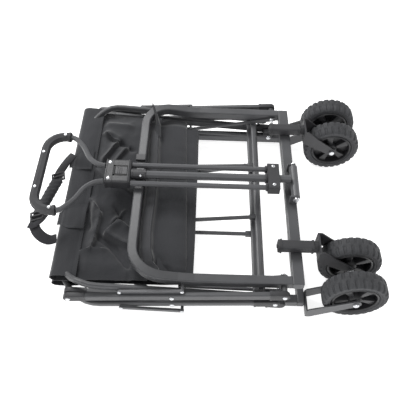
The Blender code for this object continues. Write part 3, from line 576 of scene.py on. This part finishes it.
# ---- cloth -------------------------------------------------------------------------------------------
def surface(name, columns, rows, shape, thick, material, body):
    """A sheet of cloth: shape(u, v) gives its points, and it has a real thickness."""
    bm = bmesh.new()
    grid = [[bm.verts.new(shape(i / columns, j / rows)) for j in range(rows + 1)] for i in range(columns + 1)]
    for i in range(columns):
        for j in range(rows):
            bm.faces.new((grid[i][j], grid[i + 1][j], grid[i + 1][j + 1], grid[i][j + 1]))
    bmesh.ops.recalc_face_normals(bm, faces=bm.faces)
    bmesh.ops.solidify(bm, geom=bm.faces[:], thickness=thick)
    bmesh.ops.recalc_face_normals(bm, faces=bm.faces)
    obj = piece(name, bm, material, None, 55)
    if body:
        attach(obj, body)
    return obj


def between(table, value):
    """Smooth reading of a table of (position, number) pairs."""
    if value <= table[0][0]:
        return table[0][1]
    for (low, start), (high, stop) in zip(table, table[1:]):
        if value <= high:
            return start + (stop - start) * ease(value, low, high)
    return table[-1][1]


def crumple(x, y, seed, size=1.0):
    wide = noise.noise(Vector((x * 22, y * 14, seed)))
    fine = noise.noise(Vector((x * 60 + 3, y * 46, seed + 5)))
    creased = 0.5 - abs(noise.noise(Vector((x * 30, y * 24, seed + 9))))
    return size * (0.0016 * wide + 0.0006 * fine + 0.0024 * creased)


def fold_height(x, y, folds):
    """Folds as lines with a steep side and a soft side; a negative height is a valley."""
    total = 0.0
    for start_x, start_y, stop_x, stop_y, height, soft, steep in folds:
        run_x, run_y = stop_x - start_x, stop_y - start_y
        length = sqrt(run_x * run_x + run_y * run_y)
        along = ((x - start_x) * run_x + (y - start_y) * run_y) / length
        aside = ((x - start_x) * run_y - (y - start_y) * run_x) / length
        wide = steep if aside > 0 else soft
        ends = ease(along, -0.012, 0.010) * (1 - ease(along, length - 0.010, length + 0.012))
        total += 2.1 * height * ends / (1.0 + (aside / wide) ** 2) ** 1.5
    return total


# start X, start Y, end X, end Y, height (negative for a valley), width on the two sides
FRONT_FOLDS = (
    (-0.256, 0.168, -0.216, 0.142, 0.0075, 0.016, 0.0022),
    (-0.216, 0.142, -0.248, 0.076, 0.0070, 0.0022, 0.013),
    (-0.221, 0.066, -0.192, 0.128, 0.0055, 0.012, 0.0025),
    (-0.238, 0.160, -0.178, 0.118, -0.0055, 0.006, 0.012),
    (-0.268, -0.030, -0.250, -0.052, 0.0045, 0.008, 0.003),
    (-0.250, -0.050, -0.232, -0.078, 0.0065, 0.002, 0.012),
    (-0.232, -0.078, -0.237, -0.134, 0.0070, 0.0022, 0.014),
    (-0.237, -0.134, -0.242, -0.166, 0.0060, 0.002, 0.012),
    (-0.266, -0.169, -0.212, -0.164, 0.0048, 0.0022, 0.014),
    (-0.262, -0.060, -0.252, -0.112, -0.0040, 0.004, 0.008),
    (-0.217, -0.129, -0.190, -0.096, 0.0070, 0.0025, 0.012),
    (-0.190, -0.096, -0.166, -0.112, 0.0055, 0.003, 0.012),
    (-0.219, -0.130, -0.163, -0.160, 0.0065, 0.014, 0.0025),
    (-0.236, -0.130, -0.192, -0.160, -0.0075, 0.007, 0.009),
    (-0.196, -0.158, -0.160, -0.205, -0.0080, 0.008, 0.009),
    (-0.206, -0.050, -0.186, -0.092, -0.0050, 0.009, 0.006),
    (-0.182, -0.066, -0.206, -0.100, 0.0040, 0.003, 0.008),
    (-0.215, 0.010, -0.168, -0.024, 0.0040, 0.010, 0.005),
    (-0.268, 0.060, -0.236, 0.022, 0.0035, 0.008, 0.006),
    (-0.252, 0.205, -0.190, 0.196, 0.0030, 0.010, 0.014),
)


def wall_half_width(x):
    """The front and rear sheets lie inside the top frame and its round corners."""
    into_corner = -0.216 - x
    if into_corner <= 0:
        return 0.2355
    return min(0.2355, 0.1645 + sqrt(max(0.0, 0.0845 ** 2 - into_corner ** 2)))


WALL_LEVEL = ((-0.290, 0.0720), (-0.264, 0.0728), (-0.248, 0.0775), (-0.200, 0.0800), (-0.165, 0.0800),
              (-0.148, 0.0770), (-0.118, 0.0760))


def front_wall_point(u, v):
    x = -0.290 + 0.172 * u
    y = (2 * v - 1) * wall_half_width(x)
    level = between(WALL_LEVEL, x)
    edge = ease(abs(y), 0.195, 0.236)
    z = level + (fold_height(x, y, FRONT_FOLDS) + crumple(x, y, 2.0)) * (1 - 0.55 * edge)
    z -= 0.0065 * edge
    z = z * (1 - ease(x, -0.160, -0.145)) + level * ease(x, -0.160, -0.145)
    return Vector((x, y, max(0.0705, min(z, 0.0975))))


front_wall = surface("front_wall", 96, 190, front_wall_point, 0.0011, cloth, "front_panel")
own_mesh(front_wall)
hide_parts("front_panel")


CREST = ((-0.230, -0.084), (-0.212, -0.098), (-0.196, -0.110), (-0.165, -0.1165), (-0.120, -0.1185),
         (-0.030, -0.1165), (0.065, -0.1175), (0.130, -0.1205), (0.200, -0.1270), (0.230, -0.1310))


def crest_x(y):
    return between(CREST, y)


def flap_edge_x(y):
    return -0.0440 - 0.034 * y + 0.0012 * noise.noise(Vector((0, y * 16, 1.5)))


# the flap's section: distance from its crest and height, then share of the run to its edge and height
FLAP = ((-0.0290, 0.0745), (-0.0235, 0.0800), (-0.0212, 0.0890), (-0.0180, 0.0925), (-0.0090, 0.0950),
        (-0.0025, 0.0974), (0.0004, 0.0978), (0.0030, 0.0950), (0.0052, 0.0885), (0.0090, 0.0835),
        (0.0160, 0.0830))
FLAP_RUN = ((0.16, 0.0850), (0.38, 0.0872), (0.60, 0.0868), (0.80, 0.0845), (0.93, 0.0808), (0.985, 0.0770),
            (1.0, 0.0745))
FLAP_COUNT = len(FLAP) + len(FLAP_RUN)


def flap_point(u, v, lift=0.0):
    y = -0.2275 + 0.4545 * v
    crest, edge = crest_x(y), flap_edge_x(y)
    start = crest + FLAP[-1][0]
    knots = [Vector((crest + dx, z, 0)) for dx, z in FLAP]
    knots += [Vector((start + (edge - start) * f, z, 0)) for f, z in FLAP_RUN]
    place = min(u, 0.99999) * (FLAP_COUNT - 1)
    i = int(place)
    t = place - i
    a, b, c, d = (knots[min(max(i + k, 0), FLAP_COUNT - 1)] for k in (-1, 0, 1, 2))
    spot = (b * 2 + (c - a) * t + (a * 2 - b * 5 + c * 4 - d) * t * t + (b * 3 - a - c * 3 + d) * t ** 3) / 2
    x, z = spot.x, spot.y
    beyond = x - crest
    wave = 0.0022 * noise.noise(Vector((x * 9, y * 11, 4.0)))
    wave += 0.0007 * noise.noise(Vector((x * 45, y * 30, 7.0)))
    z += wave * ease(beyond, 0.004, 0.020) + 0.0006 * noise.noise(Vector((0, y * 40, 3.0)))
    groove = 0.0022 * (0.4 + 0.6 * noise.noise(Vector((1.0, y * 22, 8.0))))
    z -= groove / (1 + ((beyond - 0.012) / 0.005) ** 2)
    near_end = 1 - ease(y, -0.222, -0.165)
    z -= near_end * (0.0095 * (1 - ease(beyond, 0.0, 0.035)) + 0.0030)
    z -= 0.0055 * ease(y, 0.196, 0.212)
    ends = ease(abs(y), 0.205, 0.228)
    z -= 0.0035 * ends * ease(beyond, 0.0, 0.030)
    return Vector((x, y, z + lift))


flap = surface("top_flap", 120, 170, flap_point, 0.0012, cloth, "front_panel")
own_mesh(flap)


def flap_band_point(u, v):
    low, high = 1.9 / (FLAP_COUNT - 1), 6.1 / (FLAP_COUNT - 1)
    spot = flap_point(low + (high - low) * u, 0.02 + 0.955 * v, 0.0011)
    stitched = 0.0009 * (1 / (1 + ((u - 0.12) / 0.05) ** 2) + 1 / (1 + ((u - 0.78) / 0.05) ** 2))
    return spot - Vector((0, 0, stitched))


flap_band = surface("top_flap_binding", 28, 260, flap_band_point, 0.0009, binding, "front_panel")
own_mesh(flap_band)


def corner_point(u, v):
    """The flap's far corner stands up as a folded point and leans over the end frame."""
    around = (u - 0.5) * 2
    spine = spline([(-0.1205, 0.150, 0.0975), (-0.1215, 0.178, 0.1030), (-0.1240, 0.194, 0.1150),
                    (-0.1290, 0.206, 0.1290), (-0.1375, 0.220, 0.1420)], 6)
    place = v * (len(spine) - 1)
    i = min(int(place), len(spine) - 2)
    ridge = spine[i].lerp(spine[i + 1], place - i)
    fade = (1 - v) ** 0.8
    reach = 0.0105 if around < 0 else 0.0060
    side = Vector((reach * around * fade, 0.0035 * around * around * fade, 0))
    drop = (0.0050 + 0.0300 * ease(v, 0.15, 0.7)) * abs(around) ** 1.1 * fade
    return ridge + side - Vector((0, 0, drop))


corner = surface("top_flap_corner", 22, 34, corner_point, 0.0011, cloth, "front_panel")
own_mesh(corner)


def floor_sheet_point(u, v):
    x = -0.100 + (0.0785 + 0.002 * (v - 0.5)) * u
    y = -0.2160 + 0.4160 * v
    z = between(((-0.100, 0.0800), (-0.060, 0.0765), (-0.035, 0.0735), (-0.021, 0.0700)), x)
    z += 0.0014 * noise.noise(Vector((x * 20, y * 12, 6.0)))
    z += 0.0005 * noise.noise(Vector((x * 70, y * 50, 2.0)))
    z -= 0.0028 * ease(x, -0.026, -0.0215)
    return Vector((x + 0.0010 * noise.noise(Vector((0, y * 14, 2.5))), y, z))


floor_front = surface("front_floor_sheet", 40, 110, floor_sheet_point, 0.0012, cloth, "front_panel")
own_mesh(floor_front)


def rear_wall_point(u, v):
    x = -0.288 + 0.248 * u
    y = (2 * v - 1) * min(0.2300, wall_half_width(x) - 0.003)
    z = 0.0482 + 0.0016 * noise.noise(Vector((x * 14, y * 11, 12.0))) + crumple(x, y, 15.0, 0.45)
    z += 0.0040 * ease(x, -0.090, -0.045)
    return Vector((x, y, z))


rear_wall = surface("rear_wall", 70, 130, rear_wall_point, 0.0011, cloth, "rear_panel")
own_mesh(rear_wall)
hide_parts("rear_panel")


# ---- hems round the top rails ------------------------------------------------------------------------
BAND = ((-0.2655, -0.0100), (-0.2850, -0.0112), (-0.3020, -0.0116), (-0.3145, -0.0098), (-0.3205, -0.0020),
        (-0.3208, 0.0030), (-0.3150, 0.0094), (-0.3040, 0.0116), (-0.2900, 0.0112), (-0.2760, 0.0100),
        (-0.2655, 0.0088))


# the rail's hem runs slightly askew: X lost per metre of Y
HEM_LEAN = 0.0018


def hem_point(end, axis_z):
    def shape(u, v):
        y = -0.2330 + 0.4890 * v
        route = spline([(x, z * end, 0) for x, z in BAND], 4)
        place = u * (len(route) - 1)
        i = min(int(place), len(route) - 2)
        spot = route[i].lerp(route[i + 1], place - i)
        x, rise = spot.x, spot.y
        over = rise * end > 0
        right_edge = ease(x, -0.292, -0.266)
        if over:
            rise -= end * 0.0026 * right_edge * (1 - ease(abs(y), 0.185, 0.215))
        x += 0.0014 * noise.noise(Vector((0, y * 9, 3.0 + end))) * right_edge - HEM_LEAN * y
        swell = noise.noise(Vector((x * 26, y * 13, 5.0 + end + over))) * 0.0012
        crease = 0.0012 * (0.5 - abs(noise.noise(Vector((x * 55, y * 20, 7.0)))))
        seam = 0.0009 / (1 + ((x + 0.2735) / 0.0012) ** 2)
        return Vector((x, y, axis_z + rise + end * (1 if over else -1) * (swell + crease - seam * over)))
    return shape


for end in (1, -1):
    axis_z = RAIL[end].z + end * 0.0006
    hem = surface(LABEL[end] + "_hem", 60, 120, hem_point(end, axis_z), 0.0010, cloth, LABEL[end] + "_panel")


# ---- straps ------------------------------------------------------------------------------------------
def strap(name, route, width, thick, material, body, up, steps=6):
    bm = bmesh.new()
    line = spline(route, steps)
    sweep(bm, line, rounded(width / 2, thick / 2, thick * 0.42, 2), flat_up=up)
    finish_normals(bm)
    obj = piece(name, bm, material, None, 50)
    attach(obj, body)
    return obj


def wrap_point(low_y, high_y, lean, reach):
    """A strap's end wrapped over the hem and stitched down: wider at the hem's right edge."""
    def shape(u, v):
        start = (1 - u)
        x = -0.3275 + (reach + 0.3275) * u
        spread = 0.5 + 0.5 * ease(u, 0.0, 0.55)
        middle = (low_y + high_y) / 2 + lean * start
        y = middle + (v - 0.5) * (high_y - low_y) * spread
        top = RAIL[1].z + 0.0006 + between(((-0.3275, 0.0040), (-0.3205, 0.0068), (-0.3120, 0.0112),
                                            (-0.3000, 0.0137), (-0.2860, 0.0134), (-0.2700, 0.0116)), x)
        x -= HEM_LEAN * y
        rim = 0.0008 * (ease(abs(v - 0.5), 0.40, 0.46) + ease(u, 0.88, 0.94)) * (1 if u < 0.99 else 0)
        return Vector((x, y, top + rim * 0.8 + 0.0007 * noise.noise(Vector((x * 40, y * 40, 21)))))
    return shape


for name, low_y, high_y, lean, reach in (("strap_end_far", 0.050, 0.112, -0.006, -0.2720),
                                         ("strap_end_near", -0.116, -0.052, -0.004, -0.2660)):
    patch = surface(name, 26, 30, wrap_point(low_y, high_y, lean, reach), 0.0016, cloth, "front_panel")

up_left = (-0.35, 0, 1)
strap("strap_neck_far", [(-0.3215, 0.098, 0.0800), (-0.3330, 0.082, 0.0765), (-0.3430, 0.062, 0.0735),
                         (-0.3490, 0.044, 0.0715), (-0.3498, 0.021, 0.0708)],
      0.026, 0.0022, webbing, "front_panel", up_left)
pad = strap("carry_strap_pad", [(-0.3500, 0.024, 0.0700), (-0.3560, 0.004, 0.0695), (-0.3630, -0.022, 0.0690),
                                (-0.3700, -0.048, 0.0690), (-0.3755, -0.072, 0.0695)],
            0.0290, 0.0125, cloth, "front_panel", up_left, steps=10)
for vert in pad.data.vertices:
    quilt = 0.0011 * sin(vert.co.y * 520) + 0.0009 * noise.noise(vert.co * 60)
    vert.co.z += quilt * (1 if vert.co.z > 0.069 else -1)
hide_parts("carry_strap")
strap("strap_neck_near", [(-0.3752, -0.066, 0.0702), (-0.3770, -0.080, 0.0702), (-0.3790, -0.096, 0.0705),
                          (-0.3720, -0.116, 0.0700),
                          (-0.3560, -0.132, 0.0690), (-0.3380, -0.140, 0.0700), (-0.3225, -0.137, 0.0730)],
      0.024, 0.0022, webbing, "front_panel", up_left)
strap("strap_loop_near", [(-0.3870, -0.092, 0.0650), (-0.3800, -0.108, 0.0610), (-0.3640, -0.126, 0.0590),
                          (-0.3440, -0.136, 0.0610), (-0.3270, -0.130, 0.0650)],
      0.018, 0.0020, webbing, "front_panel", up_left)
strap("strap_tail", [(-0.3560, -0.074, 0.0760), (-0.3640, -0.092, 0.0755), (-0.3780, -0.106, 0.0745),
                     (-0.3900, -0.104, 0.0730)],
      0.016, 0.0018, webbing, "front_panel", up_left)


def buckle(name, place, turn, body):
    """A moulded slide: a rounded frame with a middle bar."""
    bm = bmesh.new()
    for low, high in (((-0.016, -0.0125, -0.0022), (0.016, -0.0085, 0.0022)),
                      ((-0.016, 0.0085, -0.0022), (0.016, 0.0125, 0.0022)),
                      ((-0.016, -0.0125, -0.0022), (-0.0120, 0.0125, 0.0022)),
                      ((0.0120, -0.0125, -0.0022), (0.016, 0.0125, 0.0022)),
                      ((-0.016, -0.0022, -0.0012), (0.016, 0.0022, 0.0034))):
        add_box(bm, low, high, 0.0013, 2)
    bmesh.ops.transform(bm, verts=bm.verts, matrix=Matrix.Translation(Vector(place)) @ turn)
    obj = piece(name, bm, plastic, body, 40)
    return obj


tilt = Matrix.Rotation(radians(-10), 4, "Y")
for side_name, place, twist in (("far", (-0.3490, 0.0335, 0.0725), 14),
                                ("near", (-0.3760, -0.0800, 0.0735), 12)):
    turn = tilt @ Matrix.Rotation(radians(twist), 4, "Z")
    buckle("strap_buckle_" + side_name, place, turn, "front_panel")


# ---- side walls, folded between the front and the rear sheets ----------------------------------------
LAYER_Z = {1: (0.0705, 0.0618), -1: (0.0515, 0.0602)}


def side_wall_point(side, end):
    def shape(u, v):
        x = -0.288 + 0.200 * u
        bulge = 0.0050 * sin(pi * v * 2.0) + 0.0020 * noise.noise(Vector((x * 24, v * 3, 31 + side)))
        y = side * (0.2100 + bulge * 0.6 + 0.0035 * sin(x * 55 + side))
        start, stop = LAYER_Z[end]
        return Vector((x, y, start + (stop - start) * v))
    return shape


def floor_wall_point(end):
    def shape(u, v):
        y = -0.2060 + 0.4120 * u
        x = -0.0890 + 0.0030 * sin(pi * v * 2) + 0.0014 * noise.noise(Vector((y * 18, v * 3, 41 + end)))
        start, stop = LAYER_Z[end]
        return Vector((x, y, start + (stop - start) * v))
    return shape


def middle_fold_point(end):
    def shape(u, v):
        swell = 0.0018 + 0.0006 * noise.noise(Vector((u * 5, v * 9, 51 + end)))
        return Vector((-0.2885 + 0.1560 * u, -0.2050 + 0.4100 * v, 0.0610 + end * swell))
    return shape


for end in (1, -1):
    label = LABEL[end]
    for side_name, side in SIDES:
        wall = surface(f"{label}_side_wall_{side_name}", 60, 12, side_wall_point(side, end),
                       0.0009, cloth, None)
        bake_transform(wall)
    under = surface(label + "_floor_strip", 90, 12, floor_wall_point(end), 0.0009, cloth, None)
    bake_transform(under)
    middle = surface(label + "_middle_fold", 50, 90, middle_fold_point(end), 0.0009, cloth, label + "_cloth")
    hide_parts(label + "_cloth")


# ---- handle ------------------------------------------------------------------------------------------
HUB_LOW, HUB_HIGH = (Vector(c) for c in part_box("handle_hub"))
BLOCK_LOW, BLOCK_HIGH = (Vector(c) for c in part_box("handle_lower_block"))
ARM_Z = (HUB_LOW.z + HUB_HIGH.z) / 2
SLIDE_TUBE_Y = 0.026
HUB_SEAM_X = HUB_LOW.x + 0.0178


def ring_band(bm, x, low, high, half_y, half_z, out):
    outline = rounded(half_y + out, half_z + out, 0.0046, 4)
    place = Matrix.Translation(Vector((x, 0, ARM_Z))) @ FACING_X
    add_prism(bm, outline, low, high, place, 0.0004, 2)


hub_y, hub_z = (HUB_HIGH.y - HUB_LOW.y) / 2, (HUB_HIGH.z - HUB_LOW.z) / 2
bm = bmesh.new()
ring_band(bm, HUB_SEAM_X, -0.0006, 0.0006, hub_y, hub_z, 0.0006)
ring_band(bm, HUB_LOW.x + 0.0030, -0.0016, 0.0016, hub_y, hub_z, 0.0007)
ring_band(bm, HUB_HIGH.x - 0.0060, -0.0012, 0.0012, hub_y, hub_z, 0.0006)
finish_normals(bm)
seams = piece("hub_seams", bm, plastic, "handle_slide", 40)

button_low, button_high = (Vector(c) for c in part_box("release_button"))
# a flat near-black outline round the release button: painted shade for its gap
bm = bmesh.new()
left, right = button_low.x - 0.0046, button_high.x + 0.0030
reach = (button_high.y - button_low.y) / 2 + 0.0040
for low, high in (((left, -reach), (left + 0.0042, reach)), ((right - 0.0026, -reach), (right, reach)),
                  ((left, -reach), (right, -reach + 0.0036)), ((left, reach - 0.0036), (right, reach))):
    add_box(bm, (*low, HUB_HIGH.z - 0.0006), (*high, HUB_HIGH.z + 0.0004), 0.0002, 1)
gap_shade_piece = piece("button_gap_shade", bm, painted_gap_shade, "handle_slide", 40)
bm = bmesh.new()
for index in range(3):
    x = button_low.x + 0.0060 + 0.0042 * index
    add_box(bm, (x - 0.0009, -0.0075, button_high.z - 0.0004), (x + 0.0009, 0.0075, button_high.z + 0.0007),
            0.0005, 2)
ribs = piece("button_ribs", bm, plastic, "handle_button", 40)

up_direction = (0, 0, 1)
rivet_set("hub_screws", [(Vector((HUB_LOW.x + 0.0098, s * 0.0225, HUB_HIGH.z)), up_direction, 0.0046, 0.0022)
                         for s in (-1, 1)], "handle_slide")
block_x = (BLOCK_LOW.x + BLOCK_HIGH.x) / 2
rivet_set("block_screws", [(Vector((block_x, s * SLIDE_TUBE_Y, BLOCK_HIGH.z)), up_direction, 0.0042, 0.0020)
                           for s in (-1, 1)], "handle_slide")
bm = bmesh.new()
for s in (-1, 1):
    place = Matrix.Translation(Vector((BLOCK_LOW.x - 0.0046, s * SLIDE_TUBE_Y, ARM_Z)))
    lathe(bm, [(0.0064, 0.0), (0.0086, 0.0), (0.0086, 0.0040), (0.0078, 0.0048), (0.0064, 0.0048)],
          place @ turn_to((1, 0, 0)), 28)
lathe(bm, [(0.0094, 0.0), (0.0116, 0.0), (0.0116, 0.0040), (0.0106, 0.0050), (0.0094, 0.0050)],
      Matrix.Translation(Vector((BLOCK_LOW.x - 0.0048, 0, ARM_Z))) @ turn_to((1, 0, 0)), 32)
finish_normals(bm)
bushes = piece("block_bushes", bm, plastic, "handle_slide", 40)
collar_low, collar_high = (Vector(c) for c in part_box("handle_collar"))
rivet_place = Vector((collar_high.x - 0.0120, -0.0092, ARM_Z + 0.0064))
rivet_set("collar_rivet", [(rivet_place, (0, -0.8, 0.6), 0.0028, 0.0014)], "handle_arm")
bm = bmesh.new()
for x in (collar_low.x + 0.0022, collar_high.x - 0.0022):
    lathe(bm, [(0.0110, -0.0016), (0.0122, -0.0016), (0.0122, 0.0016), (0.0110, 0.0016)],
          Matrix.Translation(Vector((x, 0, ARM_Z))) @ turn_to((1, 0, 0)), 36)
finish_normals(bm)
lips = piece("collar_lips", bm, plastic, "handle_arm", 40)

GRIP_X = -0.3710
grip_top = ARM_Z + 0.0108
grip_places = [(Vector((x, s * y, grip_top - 0.0004)), up_direction, radius, height)
               for x, y, radius, height in ((-0.3310, 0.1040, 0.0040, 0.0020),
                                            (GRIP_X, 0.0500, 0.0038, 0.0018))
               for s in (-1, 1)]
rivet_set("grip_screws", grip_places, "handle_slide")
bm = bmesh.new()
for s in (-1, 1):
    lathe(bm, [(0.0062, -0.0030), (0.0114, -0.0030), (0.0118, -0.0018), (0.0118, 0.0018), (0.0112, 0.0030),
               (0.0062, 0.0030)],
          Matrix.Translation(Vector((-0.3222, s * 0.1052, ARM_Z))) @ turn_to((1, -0.08 * s, 0)), 32)
finish_normals(bm)
collars = piece("grip_end_collars", bm, foam, "handle_slide", 40)


# ---- caster housings and front frame details ---------------------------------------------------------
for side_name, side in SIDES:
    low, high = (Vector(c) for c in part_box("caster_housing_" + side_name))
    middle_y, middle_z = (low.y + high.y) / 2, (low.z + high.z) / 2
    half_y, half_z = (high.y - low.y) / 2, (high.z - low.z) / 2
    bm = bmesh.new()
    for x, grow, thick in ((low.x + 0.0016, 0.0018, 0.0016), (high.x - 0.0022, 0.0012, 0.0022)):
        place = Matrix.Translation(Vector((x, middle_y, middle_z))) @ FACING_X
        add_prism(bm, rounded(half_y + grow, half_z + grow, 0.0035, 3), -thick, thick, place, 0.0006, 2)
    nut = Matrix.Translation(Vector((low.x - 0.0010, middle_y, middle_z))) @ FACING_X
    add_prism(bm, rounded(0.0118, 0.0112, 0.0048, 4), -0.0040, 0.0046, nut, 0.0016, 3)
    add_prism(bm, circle(0.0050, 20), -0.0060, 0.0046, nut, 0.0008, 2)
    finish_normals(bm)
    lock = piece("caster_stem_nut_" + side_name, bm, plastic, "front_frame", 40)


# ---- eyes joining the floor rods to the lower cross tubes --------------------------------------------
for end in (1, -1):
    label = LABEL[end]
    rods = bpy.data.objects[label + "_floor_rods"]
    points = [rods.matrix_world @ vert.co for vert in rods.data.vertices]
    right = max(point.x for point in points)
    middle_y = (min(point.y for point in points) + max(point.y for point in points)) / 2
    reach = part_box(label + "_lower_cross_tube")[0][0] + 0.0010
    bm = bmesh.new()
    for side in (-1, 1):
        tip = [point for point in points if point.x > right - 0.002 and (point.y - middle_y) * side > 0]
        middle = sum(tip, Vector()) / len(tip)
        add_box(bm, (right - 0.0080, middle.y - 0.0056, middle.z - 0.0056),
                (reach, middle.y + 0.0056, middle.z + 0.0056), 0.0014, 3)
    eyes = piece(label + "_floor_rod_eyes", bm, steel_coat, label + "_floor_rods", 40)
